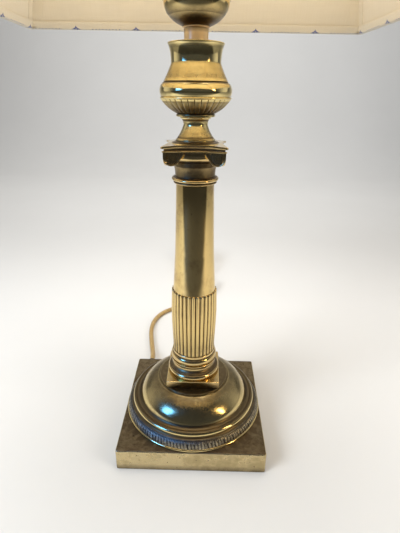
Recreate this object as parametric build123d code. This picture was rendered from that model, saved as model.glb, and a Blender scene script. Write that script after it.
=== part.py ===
from build123d import *
import os
from math import atan2, cos, degrees, pi, radians, sin, sqrt, tan

# Candlestick table lamp: a turned brass column on a square base, with a square
# cloth shade on a harp. Millimetres, +Z up, the front is towards -Y, and the
# origin is on the resting surface under the middle of the column.

os.makedirs("parts", exist_ok=True)

# ---------------------------------------------------------------- driving sizes
# Clearances
SLIP = 0.10             # radial room of a spigot or a rod in its bore
RUN = 0.05              # radial room of a shaft that turns in its bore
AIR = 0.30              # room between pieces that move past each other

# Base
FELT_T = 1.2
FELT_INSET = 1.5
PLATE_H = 22.0
PLATE_WALL = 4.0
PLATE_CORNER_R = 2.0
PLATE_EDGE_R = 1.0
PLATE_WINDOW_R = 45.0   # hole in the plate's top, under the hollow foot
SCREW_R = 2.0
SCREW_HEAD_R = 3.6
SCREW_HEAD_H = 2.4
SCREW_LENGTH = 9.0
SCREW_COUNT = 4

# Round foot
FOOT_H = 37.2
FOOT_R = 69.3           # outer bead
PLATE_LIP = 0.7         # of the plate, outside the bead
FOOT_BAND_STEP = 0.9    # from the bead in to the lower edge of the leaf band
FOOT_BAND_LEAN = 3.8    # from there in to the band's top
FOOT_RING_STEP = 6.5    # from the bead in to the ring between the band and the dome
FOOT_RING_LEAN = 2.7
DOME_BULGE_R = 29.0     # radius of the dome's arc
DOME_ARC_STEP = 41.8    # its centre, in from the bead
DOME_ARC_H = 7.8        # and above the plate
DOME_FOOT_H = 17.0
DISC_R = 35.0
DISC_H = 1.8
FOOT_WALL = 3.0

# Plinth and Attic base
PLINTH_SIDE = 51.6
PLINTH_H = 7.6
ATTIC_H = 25.3
TORUS_LOW_R = 25.6
TORUS_HIGH_R = 22.6
SCOTIA_R = 21.0

# Shaft
SHAFT_H = 164.3
SHAFT_BORE_R = 12.5
REED_COUNT = 32
REED_DEPTH = 1.15
REED_H = 65.4           # from the foot of the shaft to the tops of the reeds
REED_RADII = ((0.0, 20.5), (6.0, 20.5), (18.0, 21.0), (30.0, 21.5), (42.0, 21.8), (REED_H, 21.2))
SHAFT_STEP_R = 19.8     # plain shaft where the reeds end
SHAFT_MID_R = 17.3
SHAFT_MID_H = 117.0     # where the plain shaft has this radius
SHAFT_TOP_R = 16.2

# Capital
CAPITAL_H = 31.8
SPIGOT_H = 3.0
ASTRAGAL_R = 19.7
ASTRAGAL_SMALL_R = 18.2
NECKING_R = 16.7
ECHINUS_R = 20.6
ABACUS_HALF = 25.8
ABACUS_T = 4.8
ABACUS_BOW = 4.2        # how far each side of the abacus is hollowed
VOLUTE_R = 6.3
VOLUTE_X = 18.0         # middle of each volute, from the axis
VOLUTE_DROP = 2.6       # middle of the volute below the abacus
VOLUTE_T = 2.8
VOLUTE_RIM = 0.9
VOLUTE_SINK = 0.5
VOLUTE_LAP = 0.4        # how far the scrolls run up into the abacus
VOLUTE_TURN = 16.0      # degrees that each scroll face turns in from the corner
VOLUTE_ROOT_X = 7.5
BOLSTER_R = 5.0

# Urn
URN_FOOT_H = 20.2
URN_FOOT_R = 20.5
URN_RING_R = 16.0
URN_STEM_R = 9.8
BOWL_H = 12.6
BOWL_DISC_R = 15.4
BOWL_DISC_H = 1.8
BOWL_R = 27.4
GADROON_COUNT = 32
GADROON_DEPTH = 0.9
URN_H = 38.3
URN_BEAD_R = 28.0
URN_BELLY_R = 28.1
URN_WAIST_R = 19.0
URN_RIM_R = 21.3
URN_WALL = 2.2
COVER_T = 1.8
COVER_DEPTH = 2.6       # the cover lies this far below the urn's rim

# Neck and bun-shaped ball
NECK_R = 9.0
NECK_RING_R = 9.9
NECK_RING_H = 1.2
NECK_SHOW = 10.5        # from the urn's rim to the ball's seat
BALL_R = 23.9
BALL_HALF_H = 16.9
BALL_WALL = 1.4
BALL_BELT = 0.7
BALL_BELT_H = 2.6
BALL_SEAT_R = 9.9       # flat at the ball's bottom and top
COLLAR_R = 12.0
COLLAR_H = 2.4

# Tie rod, its nut and washers
ROD_R = 5.0
ROD_BORE_R = 3.4
ROD_NUT_AF = 15.0
ROD_NUT_H = 6.0
ROD_WASHER_R = 18.0
ROD_WASHER_T = 2.0
ROD_TAIL = 4.0
LOCK_NUT_H = 3.0

# Lampholder
SADDLE_T = 1.5
SADDLE_W = 12.0
SADDLE_HALF = 29.2      # middle of each harp leg
SADDLE_EAR_W = 4.4
SADDLE_EAR_H = 17.5
CAP_R = 18.0
CAP_H = 23.0
SHELL_R = 16.8
SHELL_H = 44.0
SHELL_WALL = 0.9
SHELL_LAP = 5.0
LINER_T = 0.8
HOLDER_BODY_R = 14.2
HOLDER_BODY_H = 16.0
SCREW_SHELL_T = 0.5
SCREW_SHELL_H = 22.0
KNOB_R = 5.5
KNOB_LENGTH = 9.0
KNOB_FLUTES = 12
SPINDLE_R = 2.0

# Bulb
BULB_CAP_R = 13.0
BULB_CAP_H = 24.0
BULB_R = 30.0
BULB_LENGTH = 107.0
BULB_GLASS_T = 1.0
BULB_TIP_R = 4.6
BULB_TIP_H = 1.4

# Harp and finial
HARP_WIRE_R = 1.6
HARP_H = 209.0          # from the ears of the saddle to the seat
HARP_HALF_W = 56.0
HARP_LEG_H = 18.0       # straight part above the ear
HARP_WIDE_H = 62.0      # where the loop is widest
HARP_SIDE_H = 125.0     # where its side ends
HARP_TAPER = 2.0        # how far the side leans in
HARP_SHOULDER = 22.0    # of the corner between side and top
HARP_TOP_REACH = 5.0    # of the level top, past the seat
HARP_BENDS = (24.0, 34.0, 60.0, 40.0, 16.0)
SLEEVE_R = 3.5
SLEEVE_BORE_R = 2.45
SLEEVE_H = 16.0
SEAT_R = 9.0
SEAT_T = 1.8
STUD_R = 3.1
STUD_H = 14.0
FINIAL_R = 8.0
FINIAL_TIP_R = 3.3
FINIAL_H = 33.0

# Shade
SHADE_SIDE = 382.2      # outside of the bottom edge
SHADE_Z = 391.6         # bottom edge above the resting surface
SHADE_H = 255.0
SHADE_TOP_SIDE = 244.5  # outside of the top edge
SHADE_TURN = 1.69       # degrees that the shade stands turned on its seat
CLOTH_T = 0.8
SHADE_WIRE_R = 1.5
WIRE_BEND = 1.7         # corners of the wire rings
LINING_T = 0.5
TAPE_T = 0.5
TAPE_W = 11.0
HEM_H = 7.5
HEM_T = 0.6
HUB_R = 13.0
HUB_T = 2.0
ARM_R = 1.0              # spider arms; the hub is twice as thick

# Cord
CORD_D = 6.2
GROMMET_Z = 9.0
GROMMET_ASIDE = 13.5    # from the plate's left side
GROMMET_FLANGE_R = 6.5
GROMMET_FLANGE_T = 2.0
GROMMET_NECK_R = 5.0
GROMMET_TAIL_R = 4.3
GROMMET_TAIL = 14.0
FLEX_D = 4.6            # inner flex, without its outer sheath
FLEX_LEAD_H = 34.0      # of its curved part, above the rod's lower end
COIL_TURNS = 6.5
COIL_INNER_R = 25.0
COIL_PITCH = 6.65       # strand to strand, beside and above each other
COIL_ASIDE = 43.4       # middle of the coil, right of the grommet
COIL_BEYOND = 353.0     # middle of the coil, behind the grommet's end
COIL_CLIMB = 0.5        # part of a turn in which the coil climbs a layer
COIL_LEVEL = 1.25       # turns that lie level in each layer
COIL_LAYERS = 4
TIE_T = 0.6
TIE_W = 8.0

# Plug
PLUG_RELIEF = 22.0
PLUG_BODY_L = 30.0
PLUG_BODY_W = 25.0
PLUG_BODY_H = 17.6
BLADE_L = 17.5
BLADE_W = 6.3
BLADE_T = 1.5
BLADE_PITCH = 12.7

# ---------------------------------------------------- sizes and heights that follow
PLATE_SIDE = 2 * (FOOT_R + PLATE_LIP)
FOOT_BAND_R = FOOT_R - FOOT_BAND_STEP
FOOT_BAND_TOP_R = FOOT_BAND_R - FOOT_BAND_LEAN
FOOT_RING_R = FOOT_R - FOOT_RING_STEP
FOOT_RING_TOP_R = FOOT_RING_R - FOOT_RING_LEAN
DOME_ARC_R = FOOT_R - DOME_ARC_STEP
GROMMET_X = GROMMET_ASIDE - PLATE_SIDE / 2
COIL_X = GROMMET_X + COIL_ASIDE
SHADE_SLOPE = round((SHADE_SIDE - SHADE_TOP_SIDE) / (2 * SHADE_H), 6)
PLATE_TOP = FELT_T + PLATE_H
FOOT_TOP = PLATE_TOP + FOOT_H
PLINTH_TOP = FOOT_TOP + PLINTH_H
SHAFT_Z = PLINTH_TOP + ATTIC_H
CAPITAL_Z = SHAFT_Z + SHAFT_H
ABACUS_TOP = CAPITAL_Z + CAPITAL_H
BOWL_Z = ABACUS_TOP + URN_FOOT_H
URN_Z = BOWL_Z + BOWL_H
URN_TOP = URN_Z + URN_H
COVER_TOP = URN_TOP - COVER_DEPTH
BALL_BOTTOM = URN_TOP + NECK_SHOW
BALL_MID = BALL_BOTTOM + BALL_HALF_H * sqrt(1 - (BALL_SEAT_R / BALL_R) ** 2)
BALL_TOP = 2 * BALL_MID - BALL_BOTTOM
SADDLE_Z = BALL_TOP + COLLAR_H
HOLDER_Z = SADDLE_Z + SADDLE_T
SHELL_Z = HOLDER_Z + CAP_H - SHELL_LAP
SHELL_TOP = SHELL_Z + SHELL_H
HOLDER_BODY_Z = SHELL_Z + 1.0
SCREW_SHELL_Z = HOLDER_BODY_Z + HOLDER_BODY_H
SCREW_SHELL_R = BULB_CAP_R + AIR + SCREW_SHELL_T
KNOB_Z = HOLDER_BODY_Z + HOLDER_BODY_H / 2
BULB_Z = SCREW_SHELL_Z + 1.5
EAR_TOP = HOLDER_Z + SADDLE_EAR_H
SEAT_Z = EAR_TOP + HARP_H
STUD_Z = SEAT_Z + SEAT_T
SHADE_TOP = SHADE_Z + SHADE_H
HUB_TOP = STUD_Z + HUB_T
ROD_BORE = ROD_R + SLIP
ROD_NUT_Z = FOOT_TOP - DISC_H - FOOT_WALL - ROD_WASHER_T - ROD_NUT_H
ROD_Z = ROD_NUT_Z - ROD_TAIL
ROD_TOP = HOLDER_Z + SADDLE_T + LOCK_NUT_H + 2.0


# ------------------------------------------------------------------ small helpers
def turned(start, *moves):
    """Solid turned about Z. Each move is (r, z), or (r_mid, z_mid, r, z) for an arc."""
    edges = []
    here = start
    for move in moves:
        end = move[-2:]
        a = (here[0], 0, here[1])
        b = (end[0], 0, end[1])
        if len(move) == 4:
            edges.append(Edge.make_three_point_arc(a, (move[0], 0, move[1]), b))
        else:
            edges.append(Edge.make_line(a, b))
        here = end
    if here != start:
        edges.append(Edge.make_line((here[0], 0, here[1]), (start[0], 0, start[1])))
    return revolve(Face(Wire(edges)), axis=Axis.Z)


def tube(outer_r, inner_r, z, height):
    """Straight tube standing on z."""
    ring = Circle(outer_r) - Circle(inner_r)
    return Pos(0, 0, z) * extrude(ring, height)


def disc(radius, z, height):
    """Round bar standing on z."""
    return Pos(0, 0, z) * extrude(Circle(radius), height)


def lobed_face(radius, z, count, depth):
    """Flat face at z whose edge is a ring of lobes that stand out by depth."""
    step = 2 * pi / count
    root = radius - depth
    edges = []
    for i in range(count):
        a = (i - 0.5) * step
        b = (i + 0.5) * step
        edges.append(
            Edge.make_three_point_arc(
                (root * cos(a), root * sin(a), z),
                (radius * cos(i * step), radius * sin(i * step), z),
                (root * cos(b), root * sin(b), z),
            )
        )
    return Face(Wire(edges))


def shade_half(z, inset):
    """Half the side of the shade at height z, inset from its outside."""
    return SHADE_SIDE / 2 - SHADE_SLOPE * (z - SHADE_Z) - inset


def shade_layer(z0, z1, inset_out, inset_in):
    """Four-sided tapering layer of the shade between two insets."""
    def frustum(inset, low, high):
        a = 2 * shade_half(low, inset)
        b = 2 * shade_half(high, inset)
        return loft([Pos(0, 0, low) * Rectangle(a, a), Pos(0, 0, high) * Rectangle(b, b)])
    over = 1.0
    return frustum(inset_out, z0, z1) - frustum(inset_in, z0 - over, z1 + over)


def on_seat(shape):
    """Turns a piece of the shade as the shade stands on its seat."""
    return Rot(0, 0, SHADE_TURN) * shape


def group(solids):
    """Separate solids of one node."""
    return Part() + solids


def write(shape, name):
    """Writes one piece."""
    export_step(shape, f"parts/{name}.step")


# --------------------------------------------------------------------------- base
def felt_pad():
    side = PLATE_SIDE - 2 * FELT_INSET
    return extrude(RectangleRounded(side, side, PLATE_CORNER_R), FELT_T)


def base_plate():
    plate = Pos(0, 0, FELT_T) * extrude(RectangleRounded(PLATE_SIDE, PLATE_SIDE, PLATE_CORNER_R), PLATE_H)
    plate = fillet(plate.edges().group_by(Axis.Z)[-1], PLATE_EDGE_R)
    hollow = PLATE_SIDE - 2 * PLATE_WALL
    plate -= Pos(0, 0, FELT_T) * extrude(RectangleRounded(hollow, hollow, PLATE_CORNER_R), PLATE_H - PLATE_WALL)
    plate -= disc(PLATE_WINDOW_R, FELT_T, PLATE_H + 1)
    for spot in screw_spots(PLATE_TOP - PLATE_WALL - 1):
        plate -= spot * extrude(Circle(SCREW_R + SLIP), PLATE_WALL + 2)
    hole = extrude(Circle(GROMMET_NECK_R + SLIP), PLATE_WALL + 2)
    return plate - Pos(GROMMET_X, PLATE_SIDE / 2 + 1, GROMMET_Z) * Rot(90, 0, 0) * hole


def screw_spots(z):
    """Places of the screws that hold the foot, on the diagonals of the plate."""
    r = (FOOT_R + PLATE_WINDOW_R) / 2
    spots = []
    for i in range(SCREW_COUNT):
        a = radians(45 + 360 * i / SCREW_COUNT)
        spots.append(Pos(r * cos(a), r * sin(a), z))
    return spots


def foot_screws():
    screws = []
    under = PLATE_TOP - PLATE_WALL
    for spot in screw_spots(under):
        screws.append(spot * (extrude(Circle(SCREW_R), SCREW_LENGTH) + Pos(0, 0, -SCREW_HEAD_H) * extrude(Circle(SCREW_HEAD_R), SCREW_HEAD_H)))
    return group(screws)


def dome_point(radius, z):
    """Distance from the axis of the dome's arc of a radius at height z."""
    return DOME_ARC_R + sqrt(radius**2 - (z - PLATE_TOP - DOME_ARC_H) ** 2)


def dome_height(radius, r):
    """Height of the dome's arc of a radius at distance r from the axis."""
    return PLATE_TOP + DOME_ARC_H + sqrt(radius**2 - (r - DOME_ARC_R) ** 2)


def foot():
    z = PLATE_TOP
    foot_z = z + DOME_FOOT_H
    disc_z = FOOT_TOP - DISC_H
    inner = DOME_BULGE_R - FOOT_WALL
    ceiling = disc_z - FOOT_WALL
    inner_foot_z = foot_z - FOOT_WALL
    ceiling_r = DOME_ARC_R + sqrt(inner**2 - (ceiling - z - DOME_ARC_H) ** 2)
    mid_r = (DISC_R + 1 + dome_point(DOME_BULGE_R, foot_z)) / 2
    mid_in_r = (ceiling_r + dome_point(inner, inner_foot_z)) / 2
    turned_foot = turned(
        (PLATE_WINDOW_R + 8, z),
        (FOOT_R - 0.4, z),
        (FOOT_R + 0.3, z + 1.1, FOOT_R - 0.4, z + 2.2),
        (FOOT_BAND_R, z + 2.4),
        (FOOT_BAND_R - 1.0, z + 7.1, FOOT_BAND_TOP_R, z + 10.2),
        (FOOT_BAND_TOP_R - 0.6, z + 10.3),
        (FOOT_RING_R + 0.4, z + 10.9, FOOT_RING_R, z + 12.1),
        (FOOT_RING_R - 0.5, z + 15.1, FOOT_RING_TOP_R, z + 16.2),
        (FOOT_RING_TOP_R - 1.0, z + 15.4),
        (dome_point(DOME_BULGE_R, foot_z) + 1.4, z + 15.6, dome_point(DOME_BULGE_R, foot_z), foot_z),
        (mid_r, dome_height(DOME_BULGE_R, mid_r), DISC_R + 1, dome_height(DOME_BULGE_R, DISC_R + 1)),
        (DISC_R, disc_z),
        (DISC_R, FOOT_TOP - 0.3),
        (DISC_R - 0.3, FOOT_TOP),
        (ROD_BORE, FOOT_TOP),
        (ROD_BORE, ceiling),
        (ceiling_r, ceiling),
        (mid_in_r, dome_height(inner, mid_in_r), dome_point(inner, inner_foot_z), inner_foot_z),
        (PLATE_WINDOW_R + 8, z + 10),
    )
    for spot in screw_spots(z - 1):
        turned_foot -= spot * extrude(Circle(SCREW_R + SLIP), SCREW_LENGTH - PLATE_WALL + 1.3)
    return turned_foot


def plinth_base():
    """Square plinth with the two rounds and the hollow of an Attic base."""
    plinth = Pos(0, 0, FOOT_TOP) * extrude(Rectangle(PLINTH_SIDE, PLINTH_SIDE), PLINTH_H)
    plinth = chamfer(plinth.edges().group_by(Axis.Z)[-1], 0.4)
    z = PLINTH_TOP
    low = TORUS_LOW_R - 1.4
    high = TORUS_HIGH_R - 1.2
    rounds = turned(
        (ROD_BORE, z - 1),
        (low, z - 1),
        (low, z),
        (TORUS_LOW_R, z + 2.9, low - 0.4, z + 5.6),
        (low - 0.9, z + 5.6),
        (low - 0.9, z + 6.6),
        (SCOTIA_R, z + 9.6, SCOTIA_R + 0.8, z + 13.6),
        (SCOTIA_R + 1.2, z + 13.6),
        (SCOTIA_R + 1.2, z + 14.5),
        (high, z + 14.5),
        (TORUS_HIGH_R, z + 18.0, high, z + 21.5),
        (high - 0.8, z + 21.5),
        (high - 0.8, z + 22.7),
        (high - 0.4, z + 22.7),
        (high - 0.4, z + ATTIC_H - 0.5),
        (high - 0.8, SHAFT_Z),
        (SHAFT_BORE_R - SLIP, SHAFT_Z),
        (SHAFT_BORE_R - SLIP, SHAFT_Z + SPIGOT_H),
        (ROD_BORE, SHAFT_Z + SPIGOT_H),
    )
    return plinth - disc(ROD_BORE, FOOT_TOP - 1, PLINTH_H + 2) + rounds


# -------------------------------------------------------------------------- shaft
def reeds():
    """Reeded lower third: a ruled loft through rings of lobes that follow the swell."""
    rings = []
    for height, radius in REED_RADII:
        rings.append(lobed_face(radius, SHAFT_Z + height, REED_COUNT, REED_DEPTH))
    body = loft(rings, ruled=True)
    half = pi * REED_RADII[-1][1] / REED_COUNT
    top = REED_H
    spring = top - half
    notch = Face(
        Wire(
            [
                Edge.make_line((-half, top + 1), (half, top + 1)),
                Edge.make_line((half, top + 1), (half, top)),
                Edge.make_three_point_arc((half, top), (half * (1 - sqrt(0.5)), spring + half * sqrt(0.5)), (0, spring)),
                Edge.make_three_point_arc((0, spring), (-half * (1 - sqrt(0.5)), spring + half * sqrt(0.5)), (-half, top)),
                Edge.make_line((-half, top), (-half, top + 1)),
            ]
        )
    )
    cutter = extrude(notch, 4.0, dir=(0, 0, 1))
    cuts = []
    for i in range(REED_COUNT):
        turn = 360 * (i + 0.5) / REED_COUNT
        cuts.append(Rot(0, 0, turn) * Pos(SHAFT_STEP_R - 1.0, 0, SHAFT_Z) * Rot(90, 0, 90) * cutter)
    return body - cuts


def shaft():
    z = SHAFT_Z
    plain = turned(
        (SHAFT_BORE_R, z),
        (SHAFT_STEP_R, z),
        (SHAFT_STEP_R, z + REED_H),
        (SHAFT_MID_R, z + SHAFT_MID_H, SHAFT_TOP_R, z + SHAFT_H - 3),
        (SHAFT_TOP_R, z + SHAFT_H),
        (SHAFT_BORE_R, z + SHAFT_H),
    )
    return reeds() - disc(SHAFT_STEP_R - 0.6, z - 1, REED_H + 2) + plain


# ------------------------------------------------------------------------ capital
def hollowed_square(half, bow, height):
    """Square block with each side hollowed by bow and its corners cut square."""
    cut = 1.2
    edges = []
    for i in range(4):
        turn = Rot(0, 0, 90 * i)
        side = Edge.make_three_point_arc((half - cut, -half, 0), (0, bow - half, 0), (cut - half, -half, 0))
        corner = Edge.make_line((half - cut, -half, 0), (half, cut - half, 0))
        edges.append(turn * side)
        edges.append(turn * corner)
    return extrude(Face(Wire(edges)), height, dir=(0, 0, 1))


def abacus():
    z = ABACUS_TOP - ABACUS_T
    low = Pos(0, 0, z) * hollowed_square(ABACUS_HALF - 0.8, ABACUS_BOW, 1.0)
    hollow = Pos(0, 0, z + 1.0) * hollowed_square(ABACUS_HALF - 1.7, ABACUS_BOW, ABACUS_T - 2.6)
    high = Pos(0, 0, ABACUS_TOP - 1.6) * hollowed_square(ABACUS_HALF, ABACUS_BOW, 1.6)
    return low + hollow + high


def scroll_face(inset, rise):
    """Comma-shaped face of a volute in X and Z, drawn in by inset."""
    r = VOLUTE_R - inset
    x = VOLUTE_X
    z = -VOLUTE_DROP
    top = rise - inset
    root = VOLUTE_ROOT_X + inset * 2.2
    lean = radians(225)
    tip = (x + r * cos(lean), z + r * sin(lean), 0)
    mid = (x + r * cos(-radians(67)), z + r * sin(-radians(67)), 0)
    edges = [
        Edge.make_line((root, top, 0), (x + r, top, 0)),
        Edge.make_line((x + r, top, 0), (x + r, z, 0)),
        Edge.make_three_point_arc((x + r, z, 0), mid, tip),
        Edge.make_line(tip, (root, -1.9 - inset, 0)),
        Edge.make_line((root, -1.9 - inset, 0), (root, top, 0)),
    ]
    return Face(Wire(edges))


def volute_plate():
    """One scroll: a plate with a raised rim, standing in the XZ plane, its back to +Y."""
    plate = extrude(scroll_face(0, VOLUTE_LAP), VOLUTE_T, dir=(0, 0, -1))
    sunk = extrude(scroll_face(VOLUTE_RIM, 0), VOLUTE_SINK, dir=(0, 0, -1))
    return Rot(90, 0, 0) * (plate - sunk)


def volutes():
    """Two scroll faces, mitred together, and a bolster at each of the four corners."""
    face_y = ABACUS_HALF - 1.5
    edge_x = VOLUTE_X + VOLUTE_R
    under = ABACUS_TOP - ABACUS_T
    wedge = extrude(Polygon((0, 0), (60, -60), (-60, -60), align=None), 40, dir=(0, 0, 1))
    right = Pos(edge_x, -face_y, under) * Rot(0, 0, -VOLUTE_TURN) * Pos(-edge_x, 0, 0) * volute_plate()
    right = right & (Pos(0, 0, under - 20) * wedge)
    left = mirror(right, about=Plane.YZ)
    start = BOLSTER_R * 2.6
    reach = face_y * sqrt(2) - 5.2 - start
    roll = Pos(0, 0, under - VOLUTE_DROP) * Rot(0, 0, 45) * Pos(start, 0, 0) * Rot(0, 90, 0) * extrude(Circle(BOLSTER_R), reach)
    pieces = []
    for i in range(4):
        turn = Rot(0, 0, 90 * i)
        pieces.append(turn * right)
        pieces.append(turn * left)
        pieces.append(turn * roll)
    return pieces


def capital():
    """Astragal, necking, echinus, abacus and four diagonal volutes, cast in one."""
    z = CAPITAL_Z
    under = ABACUS_TOP - ABACUS_T
    core = turned(
        (ROD_BORE, z - SPIGOT_H),
        (SHAFT_BORE_R - SLIP, z - SPIGOT_H),
        (SHAFT_BORE_R - SLIP, z),
        (ASTRAGAL_SMALL_R - 0.6, z),
        (ASTRAGAL_SMALL_R, z + 0.9, ASTRAGAL_SMALL_R - 0.6, z + 1.8),
        (ASTRAGAL_R - 1.6, z + 2.0),
        (ASTRAGAL_R - 1.2, z + 2.2),
        (ASTRAGAL_R, z + 3.6, ASTRAGAL_R - 1.2, z + 5.0),
        (NECKING_R, z + 5.6),
        (NECKING_R + 0.2, z + 10.2, NECKING_R + 0.9, z + 14.0),
        (NECKING_R + 1.6, z + 14.4),
        (NECKING_R + 1.6, z + 17.8),
        (NECKING_R + 1.0, z + 18.2),
        (NECKING_R + 1.0, z + 18.9),
        (ECHINUS_R - 2.2, z + 19.1),
        (ECHINUS_R - 0.4, z + 20.8, ECHINUS_R, z + 23.2),
        (ECHINUS_R, under + 0.5),
        (ROD_BORE, under + 0.5),
    )
    top = abacus() - disc(ROD_BORE, under - 1, ABACUS_T + 2)
    return core + top + volutes()


# ---------------------------------------------------------------------------- urn
def urn_foot():
    z = ABACUS_TOP
    return turned(
        (ROD_BORE, z),
        (URN_FOOT_R, z),
        (URN_FOOT_R - 2.4, z + 1.0, URN_RING_R, z + 1.8),
        (URN_RING_R, z + 3.2),
        (URN_RING_R - 0.8, z + 3.6),
        (URN_STEM_R + 1.7, z + 9.4, URN_STEM_R, z + 13.8),
        (URN_STEM_R + 0.2, z + 16.4, URN_STEM_R + 1.2, z + 18.4),
        (URN_STEM_R + 2.0, z + 18.6),
        (URN_STEM_R + 2.4, z + 19.4, URN_STEM_R + 2.0, z + URN_FOOT_H),
        (ROD_BORE, z + URN_FOOT_H),
    )


def gadrooned_bowl():
    z = BOWL_Z
    rings = []
    for height, radius in ((1.8, 14.6), (4.8, 18.4), (8.6, 23.8), (11.4, 26.8), (BOWL_H, BOWL_R)):
        rings.append(lobed_face(radius, z + height, GADROON_COUNT, GADROON_DEPTH * radius / BOWL_R))
    bowl = loft(rings, ruled=True)
    bowl += disc(BOWL_DISC_R, z, BOWL_DISC_H)
    hollow = turned((0, z + 4.5), (10, z + 4.5), (17, z + 7.5, 22.0, z + BOWL_H), (22.0, z + BOWL_H + 1), (0, z + BOWL_H + 1))
    return bowl - hollow - disc(ROD_BORE, z - 1, BOWL_H)


def urn_body():
    z = URN_Z
    wall = URN_WALL
    return turned(
        (URN_BEAD_R - 4.0, z),
        (URN_BEAD_R - 0.6, z),
        (URN_BEAD_R, z + 0.7, URN_BEAD_R - 0.6, z + 1.4),
        (URN_BELLY_R - 0.9, z + 1.8),
        (URN_BELLY_R, z + 5.4, URN_BELLY_R - 1.2, z + 10.1),
        (URN_BELLY_R - 3.4, z + 12.5),
        (URN_BELLY_R - 3.8, z + 12.9),
        (URN_WAIST_R + 2.4, z + 18.8, URN_WAIST_R, z + 24.5),
        (URN_WAIST_R + 0.4, z + 31.0, URN_RIM_R - 0.9, z + URN_H - 2.4),
        (URN_RIM_R, URN_TOP - 0.9),
        (URN_RIM_R, URN_TOP),
        (URN_RIM_R - 1.2, URN_TOP),
        (URN_RIM_R - 1.2 - wall / 2, COVER_TOP),
        (URN_WAIST_R - wall + 0.4, COVER_TOP),
        (URN_WAIST_R - wall + 0.4, COVER_TOP - COVER_T),
        (URN_WAIST_R - wall - 1.6, COVER_TOP - COVER_T),
        (URN_WAIST_R - wall - 1.6, z + 24.5),
        (URN_BELLY_R - 3.8 - wall, z + 11.5),
        (URN_BELLY_R - 1.2 - wall, z + 8.0),
        (URN_BEAD_R - 4.0, z + 2.0),
    )


def urn_cover():
    radius = URN_WAIST_R - URN_WALL + 0.4 - SLIP
    return Pos(0, 0, COVER_TOP - COVER_T) * extrude(Circle(radius) - Circle(ROD_BORE), COVER_T)


# ------------------------------------------------------------------ neck and ball
def neck_tube():
    """Spacer tube between the urn's cover and the ball, with a ring at its top."""
    height = BALL_BOTTOM - COVER_TOP
    neck = tube(NECK_R, ROD_BORE + 1.2, COVER_TOP, height)
    return neck + tube(NECK_RING_R, ROD_BORE, BALL_BOTTOM - NECK_RING_H, NECK_RING_H)


def ball_half(mirrored):
    """Spun half of the bun-shaped ball: a quarter ellipse turned about the axis."""
    def quarter(wall):
        a = BALL_R - wall
        b = BALL_HALF_H - wall
        seat = (BALL_BOTTOM - BALL_MID + wall) / b
        start = degrees(atan2(seat, sqrt(1 - seat**2)))
        with BuildSketch(Plane.XZ) as sketch:
            with BuildLine():
                curve = EllipticalCenterArc((0, 0), a, b, start_angle=start, arc_size=-start)
                Polyline(curve @ 0, (0, (curve @ 0).Y), (0, 0), curve @ 1)
            make_face()
        return revolve(sketch.sketch, axis=Axis.Z)
    shell = quarter(0) - quarter(BALL_WALL) - disc(ROD_BORE, -BALL_HALF_H - 1, BALL_HALF_H + 2)
    if mirrored:
        belt = tube(BALL_R + BALL_BELT, BALL_R - 0.4, 0, BALL_BELT_H)
        return Pos(0, 0, BALL_MID) * (mirror(shell, about=Plane.XY) + chamfer(belt.edges(), 0.25))
    return Pos(0, 0, BALL_MID) * shell


def ball_collar():
    collar = tube(COLLAR_R, ROD_BORE, BALL_TOP, COLLAR_H)
    return chamfer(collar.edges().group_by(Axis.Z)[-1].sort_by(SortBy.LENGTH)[-1], 0.6)


# ------------------------------------------------------------- rod and its fixings
def tie_rod():
    return tube(ROD_R, ROD_BORE_R, ROD_Z, ROD_TOP - ROD_Z)


def hex_nut(z, height):
    nut = extrude(RegularPolygon(ROD_NUT_AF / 2, 6, major_radius=False) - Circle(ROD_R + RUN), height)
    return Pos(0, 0, z) * nut


def rod_washer():
    return tube(ROD_WASHER_R, ROD_BORE, ROD_NUT_Z + ROD_NUT_H, ROD_WASHER_T)


# --------------------------------------------------------------------- lampholder
def harp_saddle():
    """Flat strap under the lampholder with an ear at each end for the harp."""
    strap = extrude(Rectangle(2 * SADDLE_HALF + SADDLE_T, SADDLE_W), SADDLE_T)
    strap = fillet(strap.edges().filter_by(Axis.Z), 3.0)
    strap -= extrude(Circle(ROD_BORE), SADDLE_T)
    for side in (-1, 1):
        strap += Pos(side * SADDLE_HALF, 0, 0) * extrude(Rectangle(SADDLE_T, SADDLE_EAR_W), SADDLE_T + SADDLE_EAR_H)
    return Pos(0, 0, SADDLE_Z) * strap


def lampholder_cap():
    z = HOLDER_Z
    wall = SHELL_R + SLIP
    return turned(
        (ROD_BORE, z),
        (CAP_R - 4.0, z),
        (CAP_R - 1.0, z + 1.4, CAP_R, z + 5.0),
        (CAP_R, z + CAP_H),
        (wall, z + CAP_H),
        (wall, z + 5.6),
        (wall - 0.9, z + 2.6, CAP_R - 5.0, z + SADDLE_T),
        (ROD_BORE, z + SADDLE_T),
    )


def lampholder_shell():
    shell = tube(SHELL_R, SHELL_R - SHELL_WALL, SHELL_Z, SHELL_H)
    return shell - knob_bore(AIR)


def knob_bore(room):
    """Round bar along the switch's spindle, out through the front."""
    bar = extrude(Circle(SPINDLE_R + room), CAP_R + 4)
    return Pos(0, 0, KNOB_Z) * Rot(90, 0, 0) * bar


def insulating_liner():
    outer = SHELL_R - SHELL_WALL - SLIP
    return tube(outer, outer - LINER_T, HOLDER_BODY_Z, SHELL_TOP - HOLDER_BODY_Z - 1) - knob_bore(AIR)


def holder_body():
    """Moulded block that carries the screw shell, with a bore for the spindle."""
    body = disc(HOLDER_BODY_R, HOLDER_BODY_Z, HOLDER_BODY_H)
    socket = Pos(0, -HOLDER_BODY_R / 2, KNOB_Z) * Rot(90, 0, 0) * extrude(Circle(SPINDLE_R + RUN), HOLDER_BODY_R)
    wire_way = Pos(0, HOLDER_BODY_R / 2, HOLDER_BODY_Z) * extrude(Rectangle(6, 5), 6)
    return body - socket - wire_way


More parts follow.
